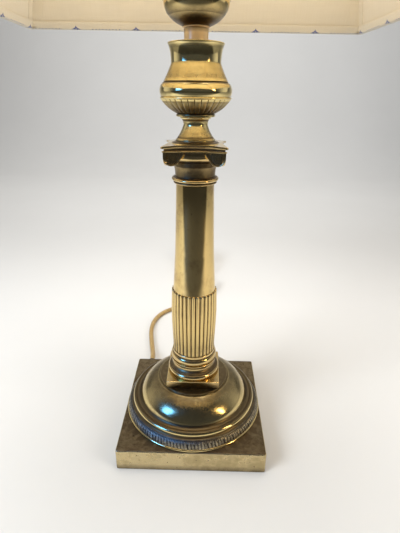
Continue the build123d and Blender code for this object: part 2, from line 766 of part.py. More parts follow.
def screw_shell():
    return tube(SCREW_SHELL_R, SCREW_SHELL_R - SCREW_SHELL_T, SCREW_SHELL_Z, SCREW_SHELL_H)


def centre_contact():
    return disc(3.5, SCREW_SHELL_Z, 0.8)


def switch_spindle():
    length = KNOB_SEAT - HOLDER_BODY_R / 2 - AIR + 5
    return Pos(0, -HOLDER_BODY_R / 2 - AIR, KNOB_Z) * Rot(90, 0, 0) * extrude(Circle(SPINDLE_R), length)


KNOB_SEAT = CAP_R + 2.2


def switch_knob():
    """Fluted knob pressed on the spindle."""
    knob = extrude(Circle(KNOB_R), KNOB_LENGTH)
    knob = fillet(knob.edges().group_by(Axis.Z)[-1], 1.5)
    for i in range(KNOB_FLUTES):
        turn = Rot(0, 0, 360 * i / KNOB_FLUTES)
        knob -= turn * Pos(KNOB_R + 0.5, 0, -1) * extrude(Circle(1.0), KNOB_LENGTH + 2)
    knob -= extrude(Circle(SPINDLE_R), 5.0)
    return Pos(0, -KNOB_SEAT, KNOB_Z) * Rot(90, 0, 0) * knob


# --------------------------------------------------------------------------- bulb
def bulb_glass():
    cap_top = BULB_Z + BULB_CAP_H
    middle = BULB_Z + BULB_LENGTH - BULB_R

    def envelope(wall):
        r = BULB_R - wall
        neck = BULB_CAP_R - 0.2 - wall
        return turned(
            (0, cap_top - 5),
            (neck, cap_top - 5),
            (neck, cap_top + 4),
            (BULB_R * 0.70 - wall, middle - 0.98 * BULB_R, r, middle),
            (r * sqrt(0.5), middle + r * sqrt(0.5), 0, middle + r),
        )
    return envelope(0) - Pos(0, 0, 0) * envelope(BULB_GLASS_T)


def bulb_cap():
    """Screw cap of the bulb: a cup with its closed end down."""
    z = BULB_Z + BULB_TIP_H + 3.0
    return turned(
        (BULB_TIP_R + 3.6, z),
        (BULB_CAP_R - 1.0, z),
        (BULB_CAP_R, z + 1.6),
        (BULB_CAP_R, BULB_Z + BULB_CAP_H - 5),
        (BULB_CAP_R - 0.9, BULB_Z + BULB_CAP_H - 5),
        (BULB_CAP_R - 0.9, z + 1.4),
        (BULB_TIP_R + 3.6, z + 1.0),
    )


def bulb_insulator():
    z = BULB_Z + BULB_TIP_H
    return turned((0, z), (BULB_TIP_R, z), (BULB_TIP_R + 3.6, z + 3.0), (BULB_TIP_R + 3.6, z + 4.0), (0, z + 4.0))


def bulb_contact():
    return turned((0, BULB_Z), (BULB_TIP_R - 1.6, BULB_Z), (BULB_TIP_R, BULB_Z + BULB_TIP_H), (0, BULB_Z + BULB_TIP_H))


# ---------------------------------------------------------------- harp and finial
def harp():
    """One wire bent to a tall loop, with a flat seat welded on its top."""
    foot_z = EAR_TOP
    top_z = SEAT_Z - HARP_WIRE_R
    half = [
        (SADDLE_HALF, foot_z),
        (SADDLE_HALF, foot_z + HARP_LEG_H),
        (HARP_HALF_W, foot_z + HARP_WIDE_H),
        (HARP_HALF_W - HARP_TAPER, foot_z + HARP_SIDE_H),
        (HARP_HALF_W - HARP_SHOULDER, top_z - HARP_SHOULDER),
        (SEAT_R + HARP_TOP_REACH, top_z),
    ]
    points = []
    for x, z in half:
        points.append((-x, 0, z))
    for x, z in reversed(half):
        points.append((x, 0, z))
    bends = HARP_BENDS + HARP_BENDS[::-1]
    path = FilletPolyline(*points, radius=bends)
    wire = sweep(Plane(origin=path @ 0, z_dir=path % 0) * Circle(HARP_WIRE_R), path=path)
    return wire + disc(SEAT_R, SEAT_Z - HARP_WIRE_R, SEAT_T + HARP_WIRE_R)


def harp_sleeves():
    z = EAR_TOP - SLEEVE_H / 2 - 2
    sleeve = tube(SLEEVE_R, SLEEVE_BORE_R, z, SLEEVE_H)
    return group([Pos(-SADDLE_HALF, 0, 0) * sleeve, Pos(SADDLE_HALF, 0, 0) * sleeve])


def harp_stud():
    return disc(STUD_R, STUD_Z, STUD_H)


def finial():
    z = HUB_TOP
    tip = FINIAL_TIP_R
    return turned(
        (STUD_R + RUN, z),
        (FINIAL_R, z),
        (FINIAL_R, z + 2.0),
        (FINIAL_R - 1.4, z + 3.0),
        (FINIAL_R - 3.6, z + 5.4, FINIAL_R - 4.0, z + 8.4),
        (FINIAL_R - 2.2, z + 9.2, FINIAL_R - 4.0, z + 10.0),
        (FINIAL_R - 3.4, z + 11.4),
        (FINIAL_R - 0.6, z + 18.4, FINIAL_R - 4.4, z + 25.6),
        (tip * sin(radians(52)), z + FINIAL_H - tip * (1 + cos(radians(52)))),
        (tip, z + FINIAL_H - tip, 0, z + FINIAL_H),
        (0, z + STUD_H - HUB_T + 1.0),
        (STUD_R + RUN, z + STUD_H - HUB_T + 1.0),
    )


# -------------------------------------------------------------------------- shade
LEAN = sqrt(1 + SHADE_SLOPE**2)
FRAME_INSET = CLOTH_T + SHADE_WIRE_R * LEAN + 0.02
LINING_INSET = FRAME_INSET + SHADE_WIRE_R * LEAN + 0.1
TAPE_INSET = LINING_INSET + LINING_T
HEM_INSET = TAPE_INSET + TAPE_T
CLOTH_Z = SHADE_Z + HEM_T
CLOTH_TOP = SHADE_TOP - HEM_T


def shade_panel(side):
    """One cloth side, mitred at its edges; side counts quarter turns from the front."""
    rings = []
    for z in (CLOTH_Z, CLOTH_TOP):
        h = shade_half(z, 0)
        i = shade_half(z, CLOTH_T)
        rings.append(Face(Wire.make_polygon([(-h, -h, z), (h, -h, z), (i, -i, z), (-i, -i, z)])))
    return on_seat(Rot(0, 0, 90 * side) * loft(rings, ruled=True))


def shade_lining():
    lining = shade_layer(CLOTH_Z, CLOTH_TOP, LINING_INSET, LINING_INSET + LINING_T)
    return on_seat(lining - arm_ways())


def corner_tapes():
    """Tape folded into each inner corner of the lining."""
    layer = shade_layer(CLOTH_Z, CLOTH_TOP, TAPE_INSET, TAPE_INSET + TAPE_T)
    tapes = []
    for sx in (-1, 1):
        for sy in (-1, 1):
            low = shade_half(CLOTH_Z, TAPE_INSET) - TAPE_W / 2
            high = shade_half(CLOTH_TOP, TAPE_INSET) - TAPE_W / 2
            bar = loft([Pos(sx * low, sy * low, CLOTH_Z) * Rectangle(TAPE_W, TAPE_W), Pos(sx * high, sy * high, CLOTH_TOP) * Rectangle(TAPE_W, TAPE_W)])
            tapes.append(layer & bar)
    return on_seat(group(tapes) - arm_ways())


def shade_hem(bottom):
    """Band of cloth folded over an edge of the shade and up its inside."""
    if bottom:
        lip = shade_layer(SHADE_Z, CLOTH_Z, 0, HEM_INSET + HEM_T)
        band = shade_layer(CLOTH_Z, SHADE_Z + HEM_H, HEM_INSET, HEM_INSET + HEM_T)
    else:
        lip = shade_layer(CLOTH_TOP, SHADE_TOP, 0, HEM_INSET + HEM_T)
        band = shade_layer(SHADE_TOP - HEM_H, CLOTH_TOP, HEM_INSET, HEM_INSET + HEM_T) - arm_ways()
    return on_seat(lip + band)


def wire_square(z):
    """Square ring of wire that the cloth is fixed to."""
    half = shade_half(z, FRAME_INSET)
    path = Pos(0, 0, z) * RectangleRounded(2 * half, 2 * half, WIRE_BEND).wire()
    return sweep(Plane(origin=path @ 0, z_dir=path % 0) * Circle(SHADE_WIRE_R), path=path)


BOTTOM_WIRE_Z = CLOTH_Z + SHADE_WIRE_R
STRUT_BACK = 0.0
TOP_WIRE_Z = CLOTH_TOP - SHADE_WIRE_R


def corner_struts():
    """Four wires up the corners, from the bottom ring to the top ring."""
    struts = []
    back = STRUT_BACK
    low = shade_half(BOTTOM_WIRE_Z + SHADE_WIRE_R, FRAME_INSET) - back
    high = shade_half(TOP_WIRE_Z - SHADE_WIRE_R, FRAME_INSET) - back
    for sx in (-1, 1):
        for sy in (-1, 1):
            a = Vector(sx * low, sy * low, BOTTOM_WIRE_Z + SHADE_WIRE_R)
            b = Vector(sx * high, sy * high, TOP_WIRE_Z - SHADE_WIRE_R)
            struts.append(Solid.extrude(Face(Wire.make_circle(SHADE_WIRE_R, Plane(origin=a))), b - a))
    return on_seat(group(struts))


RING_CORNER = shade_half(TOP_WIRE_Z, FRAME_INSET) * sqrt(2) - WIRE_BEND * (sqrt(2) - 1)
ARM_REACH = RING_CORNER - SHADE_WIRE_R - ARM_R - 0.02


def arm_ways():
    """Ways for the spider's arms through the lining at the top corners."""
    way = Pos(ARM_REACH - 10, 0, TOP_WIRE_Z) * Rot(0, 90, 0) * extrude(Circle(ARM_R + AIR), 12)
    return [Rot(0, 0, 45 + 90 * i) * way for i in range(4)]


def shade_spider():
    """Hub that sits on the harp, with four arms that rise to the top ring's corners."""
    spider = tube(HUB_R, STUD_R + AIR, STUD_Z, HUB_T)
    z = STUD_Z + HUB_T / 2
    bend = ((HUB_R - 2, 0, z), (ARM_REACH * 0.60, 0, z), (ARM_REACH * 0.88, 0, TOP_WIRE_Z), (ARM_REACH, 0, TOP_WIRE_Z))
    path = FilletPolyline(*bend, radius=[30, 8])
    arm = sweep(Plane(origin=path @ 0, z_dir=path % 0) * Circle(ARM_R), path=path)
    for i in range(4):
        spider += Rot(0, 0, 45 + 90 * i) * arm
    return on_seat(spider)


# --------------------------------------------------------------------------- cord
def cord_grommet():
    """Bush in the back wall of the plate, with a tapered sleeve for the cord."""
    y = PLATE_SIDE / 2
    bush = turned(
        (CORD_D / 2 + SLIP, -PLATE_WALL - GROMMET_FLANGE_T),
        (GROMMET_FLANGE_R, -PLATE_WALL - GROMMET_FLANGE_T),
        (GROMMET_FLANGE_R, -PLATE_WALL),
        (GROMMET_NECK_R, -PLATE_WALL),
        (GROMMET_NECK_R, 0),
        (GROMMET_FLANGE_R, 0),
        (GROMMET_FLANGE_R, GROMMET_FLANGE_T - 0.6),
        (GROMMET_FLANGE_R - 0.6, GROMMET_FLANGE_T),
        (GROMMET_NECK_R, GROMMET_FLANGE_T),
        (GROMMET_TAIL_R, GROMMET_TAIL),
        (CORD_D / 2 + SLIP, GROMMET_TAIL),
    )
    return Pos(GROMMET_X, y, GROMMET_Z) * Rot(-90, 0, 0) * bush


def bend_radii(points):
    """Largest tangent arc at each corner that its two runs leave room for."""
    radii = []
    for a, b, c in zip(points, points[1:], points[2:]):
        u = Vector(*b) - Vector(*a)
        v = Vector(*c) - Vector(*b)
        turn = radians(u.get_angle(v))
        radii.append(0.45 * min(u.length, v.length) / tan(turn / 2))
    return radii


def laid_tube(points, diameter, name):
    """Round tube along straight runs joined by tangent arcs."""
    radii = bend_radii(points)
    path = FilletPolyline(*points, radius=radii)
    body = sweep(Plane(origin=path @ 0, z_dir=path % 0) * Circle(diameter / 2), path=path)
    expected = pi * diameter**2 / 4 * path.length
    print(f"{name}: length {path.length:.1f} mm, least bend {min(radii):.1f} mm, volume / section x length {body.volume / expected:.4f}")
    print("   radii", " ".join(f"{r:.0f}" for r in radii))
    return body


GROMMET_END_Y = PLATE_SIDE / 2 + GROMMET_TAIL
COIL_Y = GROMMET_END_Y + COIL_BEYOND
COIL_OUTER_START = COIL_INNER_R + 1.5 * COIL_PITCH
COIL_Z = CORD_D / 2 + TIE_T + AIR
COIL_START_X = COIL_X - COIL_OUTER_START
COIL_END_X = COIL_X + COIL_OUTER_START
COIL_TOP_Z = COIL_Z + (COIL_LAYERS - 1) * COIL_PITCH

# Lead from the grommet, across the table and behind the column to the coil
LEAD_ROUTE = [
    (GROMMET_X, GROMMET_END_Y, GROMMET_Z),
    (GROMMET_X - 0.2, GROMMET_END_Y + 12.0, 7.6),
    (GROMMET_X - 3.0, GROMMET_END_Y + 29.0, 3.4),
    (GROMMET_X - 8.0, GROMMET_END_Y + 54.0, 3.2),
    (GROMMET_X - 12.7, GROMMET_END_Y + 83.0, 3.3),
    (GROMMET_X - 11.0, GROMMET_END_Y + 111.0, 3.2),
    (GROMMET_X - 0.5, GROMMET_END_Y + 134.0, 3.3),
    (GROMMET_X + 19.5, GROMMET_END_Y + 150.0, 3.2),
    (GROMMET_X + 31.5, GROMMET_END_Y + 178.0, 3.3),
    (GROMMET_X + 32.0, GROMMET_END_Y + 216.0, 3.2),
    (GROMMET_X + 22.5, GROMMET_END_Y + 262.0, 3.4),
    (COIL_START_X, COIL_Y - 39.0, COIL_Z),
    (COIL_START_X, COIL_Y, COIL_Z),
]
# Tail from the top of the coil down to the plug in front of it
PLUG_X = COIL_X + 27.1
PLUG_END_Y = COIL_Y - 89.0
PLUG_Z = PLUG_BODY_H / 2
TAIL_ROUTE = [
    (COIL_END_X, COIL_Y, COIL_TOP_Z),
    (COIL_END_X, COIL_Y - 25.0, COIL_TOP_Z),
    (COIL_END_X - 2.6, COIL_Y - 52.0, 16.6),
    (PLUG_X, PLUG_END_Y + 18.0, PLUG_Z),
    (PLUG_X, PLUG_END_Y, PLUG_Z),
]


def triangle_wave(turns):
    """Distance from the coil's inner radius, in strands, for a number of turns along it."""
    leg = COIL_LEVEL + COIL_CLIMB
    first = COIL_LEVEL + COIL_CLIMB / 2
    phase = (turns - first) % (2 * leg)
    return phase if phase <= leg else 2 * leg - phase


def climb(turns):
    """Layers climbed for a number of turns, with a smooth rise in each climb."""
    leg = COIL_LEVEL + COIL_CLIMB
    whole = int(turns / leg + 1e-9)
    part = turns - whole * leg - COIL_LEVEL
    if part <= 0:
        return whole
    share = part / COIL_CLIMB
    return whole + share * share * (3 - 2 * share)


def coil_point(turns):
    """Point of the coil's centreline; it winds clockwise from its left side."""
    r = COIL_INNER_R + COIL_PITCH * triangle_wave(turns)
    a = pi - 2 * pi * turns
    return Vector(COIL_X + r * cos(a), COIL_Y + r * sin(a), COIL_Z + COIL_PITCH * climb(turns))


def coil_heading(turns):
    """Direction of the coil's centreline, rounded over its reversals."""
    if turns <= 0 or turns >= COIL_TURNS:
        a = pi - 2 * pi * turns
        return Vector(sin(a), -cos(a), 0)
    step = 0.06
    low = max(0, turns - step)
    high = min(COIL_TURNS, turns + step)
    return (coil_point(high) - coil_point(low)).normalized()


def biarc(p, q, u, v):
    """Two arcs from p heading u to q heading v, tangent where they meet."""
    d = q - p
    t = u + v
    k = 2 * (1 - u.dot(v))
    along = d.dot(t)
    reach = (sqrt(along**2 + k * d.dot(d)) - along) / k
    a = p + u * reach
    b = q - v * reach
    middle = (a + b) * 0.5
    heading = (b - a).normalized()
    return [Edge.make_tangent_arc(p, u, middle), Edge.make_tangent_arc(middle, heading, q)]


def cord_coil():
    """Put-away cord: one tube that spirals in and out in four layers."""
    steps = int(COIL_TURNS * 4)
    edges = []
    for i in range(steps):
        a = COIL_TURNS * i / steps
        b = COIL_TURNS * (i + 1) / steps
        edges += biarc(coil_point(a), coil_point(b), coil_heading(a), coil_heading(b))
    path = Wire(edges)
    body = sweep(Plane(origin=path @ 0, z_dir=path % 0) * Circle(CORD_D / 2), path=path)
    report_coil(path, body)
    return body


def report_coil(path, body):
    """Prints the coil's length and its least gap between strands."""
    count = 900
    pts = [path @ (i / count) for i in range(count + 1)]
    apart = int(count / COIL_TURNS * 0.4)
    least = 1e9
    for i in range(0, count, 3):
        for j in range(i + apart, count, 3):
            least = min(least, (pts[i] - pts[j]).length)
    expected = pi * CORD_D**2 / 4 * path.length
    print(f"cord_coil: length {path.length:.1f} mm, least gap to itself {least - CORD_D:.2f} mm, volume / section x length {body.volume / expected:.4f}")


def coil_tie():
    """Strap round the bundle of turns, at the coil's right-hand side."""
    wide = 1.75 * COIL_PITCH + CORD_D + 4 * AIR
    tall = (COIL_LAYERS - 1) * COIL_PITCH + CORD_D + 2 * AIR
    middle = COIL_INNER_R + 1.75 * COIL_PITCH / 2
    ring = RectangleRounded(wide + 2 * TIE_T, tall + 2 * TIE_T, 3.0) - RectangleRounded(wide, tall, 2.4)
    band = extrude(ring, TIE_W / 2, both=True)
    return Pos(COIL_X, COIL_Y, tall / 2 + TIE_T) * Rot(0, 0, 150) * Pos(middle, 0, 0) * Rot(90, 0, 0) * band


def plug_body():
    """Moulded plug with a tapered relief, lying on the table with its blades to -Y."""
    relief = turned((0, 0), (CORD_D / 2 + 0.9, 0), (CORD_D / 2 + 3.2, PLUG_RELIEF), (0, PLUG_RELIEF))
    block = Pos(0, 0, PLUG_RELIEF) * extrude(RectangleRounded(PLUG_BODY_W, PLUG_BODY_H, 5.0), PLUG_BODY_L)
    block = fillet(block.edges().group_by(Axis.Z)[0], 3.0)
    return Pos(PLUG_X, PLUG_END_Y, PLUG_Z) * Rot(90, 0, 0) * (relief + block)


def plug_blades():
    face_y = PLUG_END_Y - PLUG_RELIEF - PLUG_BODY_L
    blade = Pos(0, 0, 0) * extrude(Rectangle(BLADE_T, BLADE_W), BLADE_L)
    blade = chamfer(blade.edges().group_by(Axis.Z)[-1], 0.4)
    blades = []
    for side in (-1, 1):
        blades.append(Pos(PLUG_X + side * BLADE_PITCH / 2, face_y, PLUG_Z) * Rot(90, 0, 0) * blade)
    return group(blades)


def inner_flex():
    """Flex from the grommet through the base and up the hollow rod to the lampholder."""
    y = PLATE_SIDE / 2 - PLATE_WALL - GROMMET_FLANGE_T
    route = [
        (GROMMET_X, y, GROMMET_Z),
        (GROMMET_X + 1.0, y - 22.0, GROMMET_Z + 0.5),
        (-38.0, 16.0, GROMMET_Z + 3.0),
        (-8.0, 2.0, GROMMET_Z + 9.0),
        (0, 0, ROD_Z - 2.0),
        (0, 0.02, ROD_Z + FLEX_LEAD_H),
    ]
    rise = HOLDER_BODY_Z - ROD_Z - FLEX_LEAD_H
    return laid_tube(route, FLEX_D, "inner_flex") + Pos(0, 0.02, ROD_Z + FLEX_LEAD_H) * extrude(Circle(FLEX_D / 2), rise)


# ------------------------------------------------------------------- write the set
PIECES = {
    "felt_pad": felt_pad,
    "base_plate": base_plate,
    "foot_screws": foot_screws,
    "foot": foot,
    "plinth_base": plinth_base,
    "shaft": shaft,
    "capital": capital,
    "urn_foot": urn_foot,
    "gadrooned_bowl": gadrooned_bowl,
    "urn_body": urn_body,
    "urn_cover": urn_cover,
    "neck_tube": neck_tube,
    "ball_lower": lambda: ball_half(False),
    "ball_upper": lambda: ball_half(True),
    "ball_collar": ball_collar,
    "tie_rod": tie_rod,
    "rod_nut": lambda: hex_nut(ROD_NUT_Z, ROD_NUT_H),
    "rod_washer": rod_washer,
    "harp_saddle": harp_saddle,
    "lampholder_cap": lampholder_cap,
    "lock_nut": lambda: hex_nut(HOLDER_Z + SADDLE_T, LOCK_NUT_H),
    "lampholder_shell": lampholder_shell,
    "insulating_liner": insulating_liner,
    "holder_body": holder_body,
    "screw_shell": screw_shell,
    "centre_contact": centre_contact,
    "switch_spindle": switch_spindle,
    "switch_knob": switch_knob,
    "bulb_glass": bulb_glass,
    "bulb_cap": bulb_cap,
    "bulb_insulator": bulb_insulator,
    "bulb_contact": bulb_contact,
    "harp": harp,
    "harp_sleeves": harp_sleeves,
    "harp_stud": harp_stud,
    "finial": finial,
    "shade_front": lambda: shade_panel(0),
    "shade_right": lambda: shade_panel(1),
    "shade_back": lambda: shade_panel(2),
    "shade_left": lambda: shade_panel(3),
    "shade_lining": shade_lining,
    "corner_tapes": corner_tapes,
    "bottom_hem": lambda: shade_hem(True),
    "top_hem": lambda: shade_hem(False),
    "bottom_wire": lambda: on_seat(wire_square(BOTTOM_WIRE_Z)),
    "top_wire": lambda: on_seat(wire_square(TOP_WIRE_Z)),
    "corner_struts": corner_struts,
    "shade_spider": shade_spider,
    "cord_grommet": cord_grommet,
    "cord_lead": lambda: laid_tube(LEAD_ROUTE, CORD_D, "cord_lead"),
    "cord_coil": cord_coil,
    "cord_tail": lambda: laid_tube(TAIL_ROUTE, CORD_D, "cord_tail"),
    "coil_tie": coil_tie,
    "plug_body": plug_body,
    "plug_blades": plug_blades,
    "inner_flex": inner_flex,
}

for node, make in PIECES.items():
    write(make(), node)
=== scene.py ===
import logging
from dataclasses import dataclass
from enum import Enum
from math import cos, pi, radians, sin, sqrt
from typing import Callable, Optional, Sequence, Union

import bmesh
import bpy
import numpy as np
from mathutils import Matrix, Vector


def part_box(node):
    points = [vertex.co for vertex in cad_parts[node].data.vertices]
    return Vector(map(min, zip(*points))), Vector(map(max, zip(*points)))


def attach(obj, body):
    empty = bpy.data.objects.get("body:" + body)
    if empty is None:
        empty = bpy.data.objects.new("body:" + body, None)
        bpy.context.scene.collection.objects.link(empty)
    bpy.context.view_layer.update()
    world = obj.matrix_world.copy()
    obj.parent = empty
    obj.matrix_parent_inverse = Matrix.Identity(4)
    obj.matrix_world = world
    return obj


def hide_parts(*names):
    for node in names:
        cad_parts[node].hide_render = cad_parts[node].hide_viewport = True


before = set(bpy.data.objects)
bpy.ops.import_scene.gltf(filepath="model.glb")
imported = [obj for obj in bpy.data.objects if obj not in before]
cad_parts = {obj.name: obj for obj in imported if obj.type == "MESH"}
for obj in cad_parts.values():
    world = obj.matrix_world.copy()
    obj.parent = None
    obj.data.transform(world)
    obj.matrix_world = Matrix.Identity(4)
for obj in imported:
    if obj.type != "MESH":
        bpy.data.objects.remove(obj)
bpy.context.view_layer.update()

# A candlestick table lamp in aged brass: square base, round foot with a leaf band, reeded column,
# Ionic capital, gadrooned urn, bun-shaped ball, and a square tapered cloth shade on a harp.
# Sizes are in millimetres and are turned to metres where a mesh is made.

MM = 0.001
ON_AXIS = 0.01  # radius under which a point lies on the axis
log = logging.getLogger("lamp")

Value = Union[float, tuple, "Socket"]


# ------------------------------------------------------------------ shader graph
def maths(operation: str, flipped: bool = False) -> Callable[..., "Socket"]:
    """Makes a method of Socket that adds one Math node.

    Args:
        operation: Blender's name of the operation.
        flipped: Whether the socket comes after the other value.

    Returns:
        The method.
    """

    def method(self: "Socket", *others: Value) -> "Socket":
        """Adds the node and gives its output."""
        values = (*others, self) if flipped else (self, *others)
        return self.graph.node("ShaderNodeMath", {"operation": operation}, dict(enumerate(values)))

    return method


class Socket:
    """A shader output that can be used in Python expressions.

    Args:
        graph: The graph that the output belongs to.
        out: Blender's own output socket.
    """

    def __init__(self, graph: "Graph", out: bpy.types.NodeSocket) -> None:
        """Keeps the graph and the output."""
        self.graph = graph
        self.out = out

    __add__ = __radd__ = maths("ADD")
    __mul__ = __rmul__ = maths("MULTIPLY")
    __sub__ = maths("SUBTRACT")
    __rsub__ = maths("SUBTRACT", flipped=True)
    __truediv__ = maths("DIVIDE")
    __pow__ = maths("POWER")
    __abs__ = maths("ABSOLUTE")
    sin = maths("SINE")
    fract = maths("FRACT")
    floor = maths("FLOOR")
    most = maths("MAXIMUM")
    least = maths("MINIMUM")

    def step(self, low: float, high: float) -> "Socket":
        """Rises smoothly from 0 at low to 1 at high."""
        inputs = {0: self, 1: low, 2: high, 3: 0.0, 4: 1.0}
        return self.graph.node("ShaderNodeMapRange", {"interpolation_type": "SMOOTHSTEP"}, inputs)


class Graph:
    """Nodes of one material or of the world.

    Args:
        tree: The node tree to fill. It is emptied first.
    """

    def __init__(self, tree: bpy.types.NodeTree) -> None:
        """Empties the tree."""
        self.tree = tree
        tree.nodes.clear()

    def node(
        self, kind: str, settings: Optional[dict] = None, inputs: Optional[dict] = None, out: Union[int, str] = 0
    ) -> Socket:
        """Adds a node.

        Args:
            kind: Blender's type of the node.
            settings: Properties set first.
            inputs: Values or sockets by input name or number.
            out: Output to return.

        Returns:
            The chosen output.
        """
        made = self.tree.nodes.new(kind)
        for key, value in (settings or {}).items():
            setattr(made, key, value)
        for key, value in (inputs or {}).items():
            if isinstance(value, Socket):
                self.tree.links.new(value.out, made.inputs[key])
            else:
                made.inputs[key].default_value = value
        return Socket(self, made.outputs[out])

    def place(self) -> Socket:
        """Object coordinates, in metres."""
        return self.node("ShaderNodeTexCoord", out="Object")

    def uv(self) -> Socket:
        """The piece's own UV map."""
        return self.node("ShaderNodeTexCoord", out="UV")

    def parts(self, vector: Socket) -> tuple[Socket, Socket, Socket]:
        """X, Y and Z of a vector."""
        split = self.node("ShaderNodeSeparateXYZ", inputs={0: vector})
        return tuple(Socket(self, out) for out in split.out.node.outputs)

    def scaled(self, vector: Socket, scale: tuple) -> Socket:
        """A vector with each of its parts scaled."""
        return self.node("ShaderNodeVectorMath", {"operation": "MULTIPLY"}, {0: vector, 1: scale})

    def noise(self, vector: Socket, scale: float, detail: float = 3.0, rough: float = 0.5) -> Socket:
        """Soft noise from 0 to 1."""
        inputs = {"Vector": vector, "Scale": scale, "Detail": detail, "Roughness": rough}
        return self.node("ShaderNodeTexNoise", {"noise_dimensions": "3D"}, inputs)

    def attribute(self, name: str) -> Socket:
        """A number kept on the mesh."""
        return self.node("ShaderNodeAttribute", {"attribute_name": name}, out="Fac")

    def mix(self, share: Socket, a: Value, b: Value) -> Socket:
        """Colour between a and b."""
        ends = {slot: value if isinstance(value, Socket) else (*value, 1.0) for slot, value in ((6, a), (7, b))}
        return self.node("ShaderNodeMix", {"data_type": "RGBA", "clamp_factor": True}, {0: share, **ends}, 2)

    def bump(self, height: Socket, distance: float) -> Socket:
        """Normal of a height, whose full range is distance in metres."""
        return self.node("ShaderNodeBump", inputs={"Height": height, "Distance": distance, "Strength": 1.0})

    def surface(self, **inputs: Value) -> None:
        """Adds the Principled shader and the material's output. Underscores in the names stand for spaces."""
        named = {key.replace("_", " "): value for key, value in inputs.items()}
        self.finish("ShaderNodeOutputMaterial", self.node("ShaderNodeBsdfPrincipled", inputs=named))

    def finish(self, kind: str, shader: Socket) -> None:
        """Links a shader to an output node of a kind."""
        self.tree.links.new(shader.out, self.tree.nodes.new(kind).inputs["Surface"])


# ------------------------------------------------------------------------ finishes
class Finish:
    """A surface finish. A subclass fills the graph in dress().

    Args:
        label: Name of the material.
    """

    label: str

    def dress(self, g: Graph) -> None:
        """Adds the finish's nodes to graph g."""
        raise NotImplementedError

    def material(self) -> bpy.types.Material:
        """Makes the material of this finish, once.

        Returns:
            The Blender material.
        """
        found = bpy.data.materials.get(self.label)
        if found:
            return found
        made = bpy.data.materials.new(self.label)
        made.use_nodes = True
        self.dress(Graph(made.node_tree))
        return made


@dataclass(frozen=True)
class AgedBrass(Finish):
    """Polished brass that has darkened: bright wear, brown clouds, dark patina with painted shade where each piece
    marks it, and fine scratches.

    Args:
        label: Name of the material.
        gold: Colour of the clean metal.
        brown: Colour of the clouds on the darkened metal.
        deep: Colour of the dark patina and painted shade.
        clouds: Share of the surface under these clouds, 0 to 1.
        rough: Roughness of the clean metal.
        spots: How strongly dark spots show, 0 to 1.
        lines: Depth of the lathe's rings in metres, or 0.
        grain: Depth of the casting's grain in metres.
    """

    label: str = "aged_brass"
    gold: tuple = (0.80, 0.59, 0.25)
    brown: tuple = (0.42, 0.28, 0.12)
    deep: tuple = (0.075, 0.05, 0.028)
    clouds: float = 0.22
    rough: float = 0.06
    spots: float = 0.3
    lines: float = 0.0000010
    grain: float = 0.000006

    def dress(self, g: Graph) -> None:
        """Mixes gold, clouds and the dark colour of patina and painted shade, and adds scratches and rings.

        Args:
            g: The material's graph.
        """
        place = g.place()
        x, y, z = g.parts(place)
        radius = (x * x + y * y) ** 0.5
        patina_and_shade = g.attribute("patina_and_shade")
        worn = g.attribute("worn")
        broad = g.noise(place, 34.0, 5.0, 0.62)
        fine = g.noise(place, 240.0, 3.0, 0.6)
        pits = g.noise(place, 620.0, 2.0, 0.5)
        cloud = (broad + (fine - 0.5) * 0.35).step(0.58 - 0.42 * self.clouds, 0.86 - 0.42 * self.clouds)
        # dark: patina and painted shade, from the mask that each piece keeps on its points
        dark = (patina_and_shade * 1.15 + (fine - 0.5) * 0.5 * patina_and_shade).least(1.0)
        dots = g.noise(place, 330.0, 1.5, 0.5).step(0.70, 0.76) * self.spots
        metal = g.mix(cloud * (1.0 - worn) * 0.75, self.gold, self.brown)
        metal = g.mix(dots, metal, self.deep)
        metal = g.mix(dark * 0.92, metal, self.deep)
        rough = cloud * 0.05 + dark * 0.30 + dots * 0.25 + (fine - 0.5) * 0.03 + self.rough
        rings = g.noise(g.node("ShaderNodeCombineXYZ", inputs={0: radius, 1: z}), 2600.0, 2.0, 0.7) * self.lines
        rub = g.noise(g.scaled(place, (1.0, 1.0, 0.25)), 1900.0, 2.0, 0.5) * 0.0000008
        height = rings + rub + fine * self.grain + pits * self.grain * 0.35 * (1.0 + dark * 2.0)
        g.surface(Base_Color=metal, Metallic=1.0, Roughness=rough, Normal=g.bump(height, 1.0))


@dataclass(frozen=True)
class PlainMetal(Finish):
    """Plated or bare metal with fine turning marks.

    Args:
        label: Name of the material.
        colour: Colour of the metal.
        rough: Its roughness.
    """

    label: str
    colour: tuple
    rough: float = 0.3

    def dress(self, g: Graph) -> None:
        """Adds faint marks and stains.

        Args:
            g: The material's graph.
        """
        place = g.place()
        stain = g.noise(place, 60.0, 4.0, 0.6)
        marks = g.noise(g.scaled(place, (0.2, 0.2, 1.0)), 2400.0, 2.0, 0.6)
        dim = tuple(c * 0.72 for c in self.colour)
        g.surface(
            Base_Color=g.mix(stain.step(0.45, 0.75) * 0.7, self.colour, dim),
            Metallic=1.0,
            Roughness=stain * 0.18 + marks * 0.06 + (self.rough - 0.12),
            Normal=g.bump(marks, 0.000008),
        )


@dataclass(frozen=True)
class Moulded(Finish):
    """Moulded plastic, rubber or ceramic.

    Args:
        label: Name of the material.
        colour: Its colour.
        rough: Its roughness.
        coat: Weight of a clear coat.
    """

    label: str
    colour: tuple
    rough: float = 0.4
    coat: float = 0.0

    def dress(self, g: Graph) -> None:
        """Adds a faint orange-peel surface and uneven gloss.

        Args:
            g: The material's graph.
        """
        place = g.place()
        peel = g.noise(place, 900.0, 2.0, 0.5)
        dust = g.noise(place, 70.0, 4.0, 0.65)
        pale = tuple(min(1.0, c * 1.25 + 0.02) for c in self.colour)
        g.surface(
            Base_Color=g.mix(dust.step(0.45, 0.8) * 0.5, self.colour, pale),
            Roughness=dust * 0.2 + (self.rough - 0.08),
            Coat_Weight=self.coat,
            Normal=g.bump(peel, 0.00002),
        )


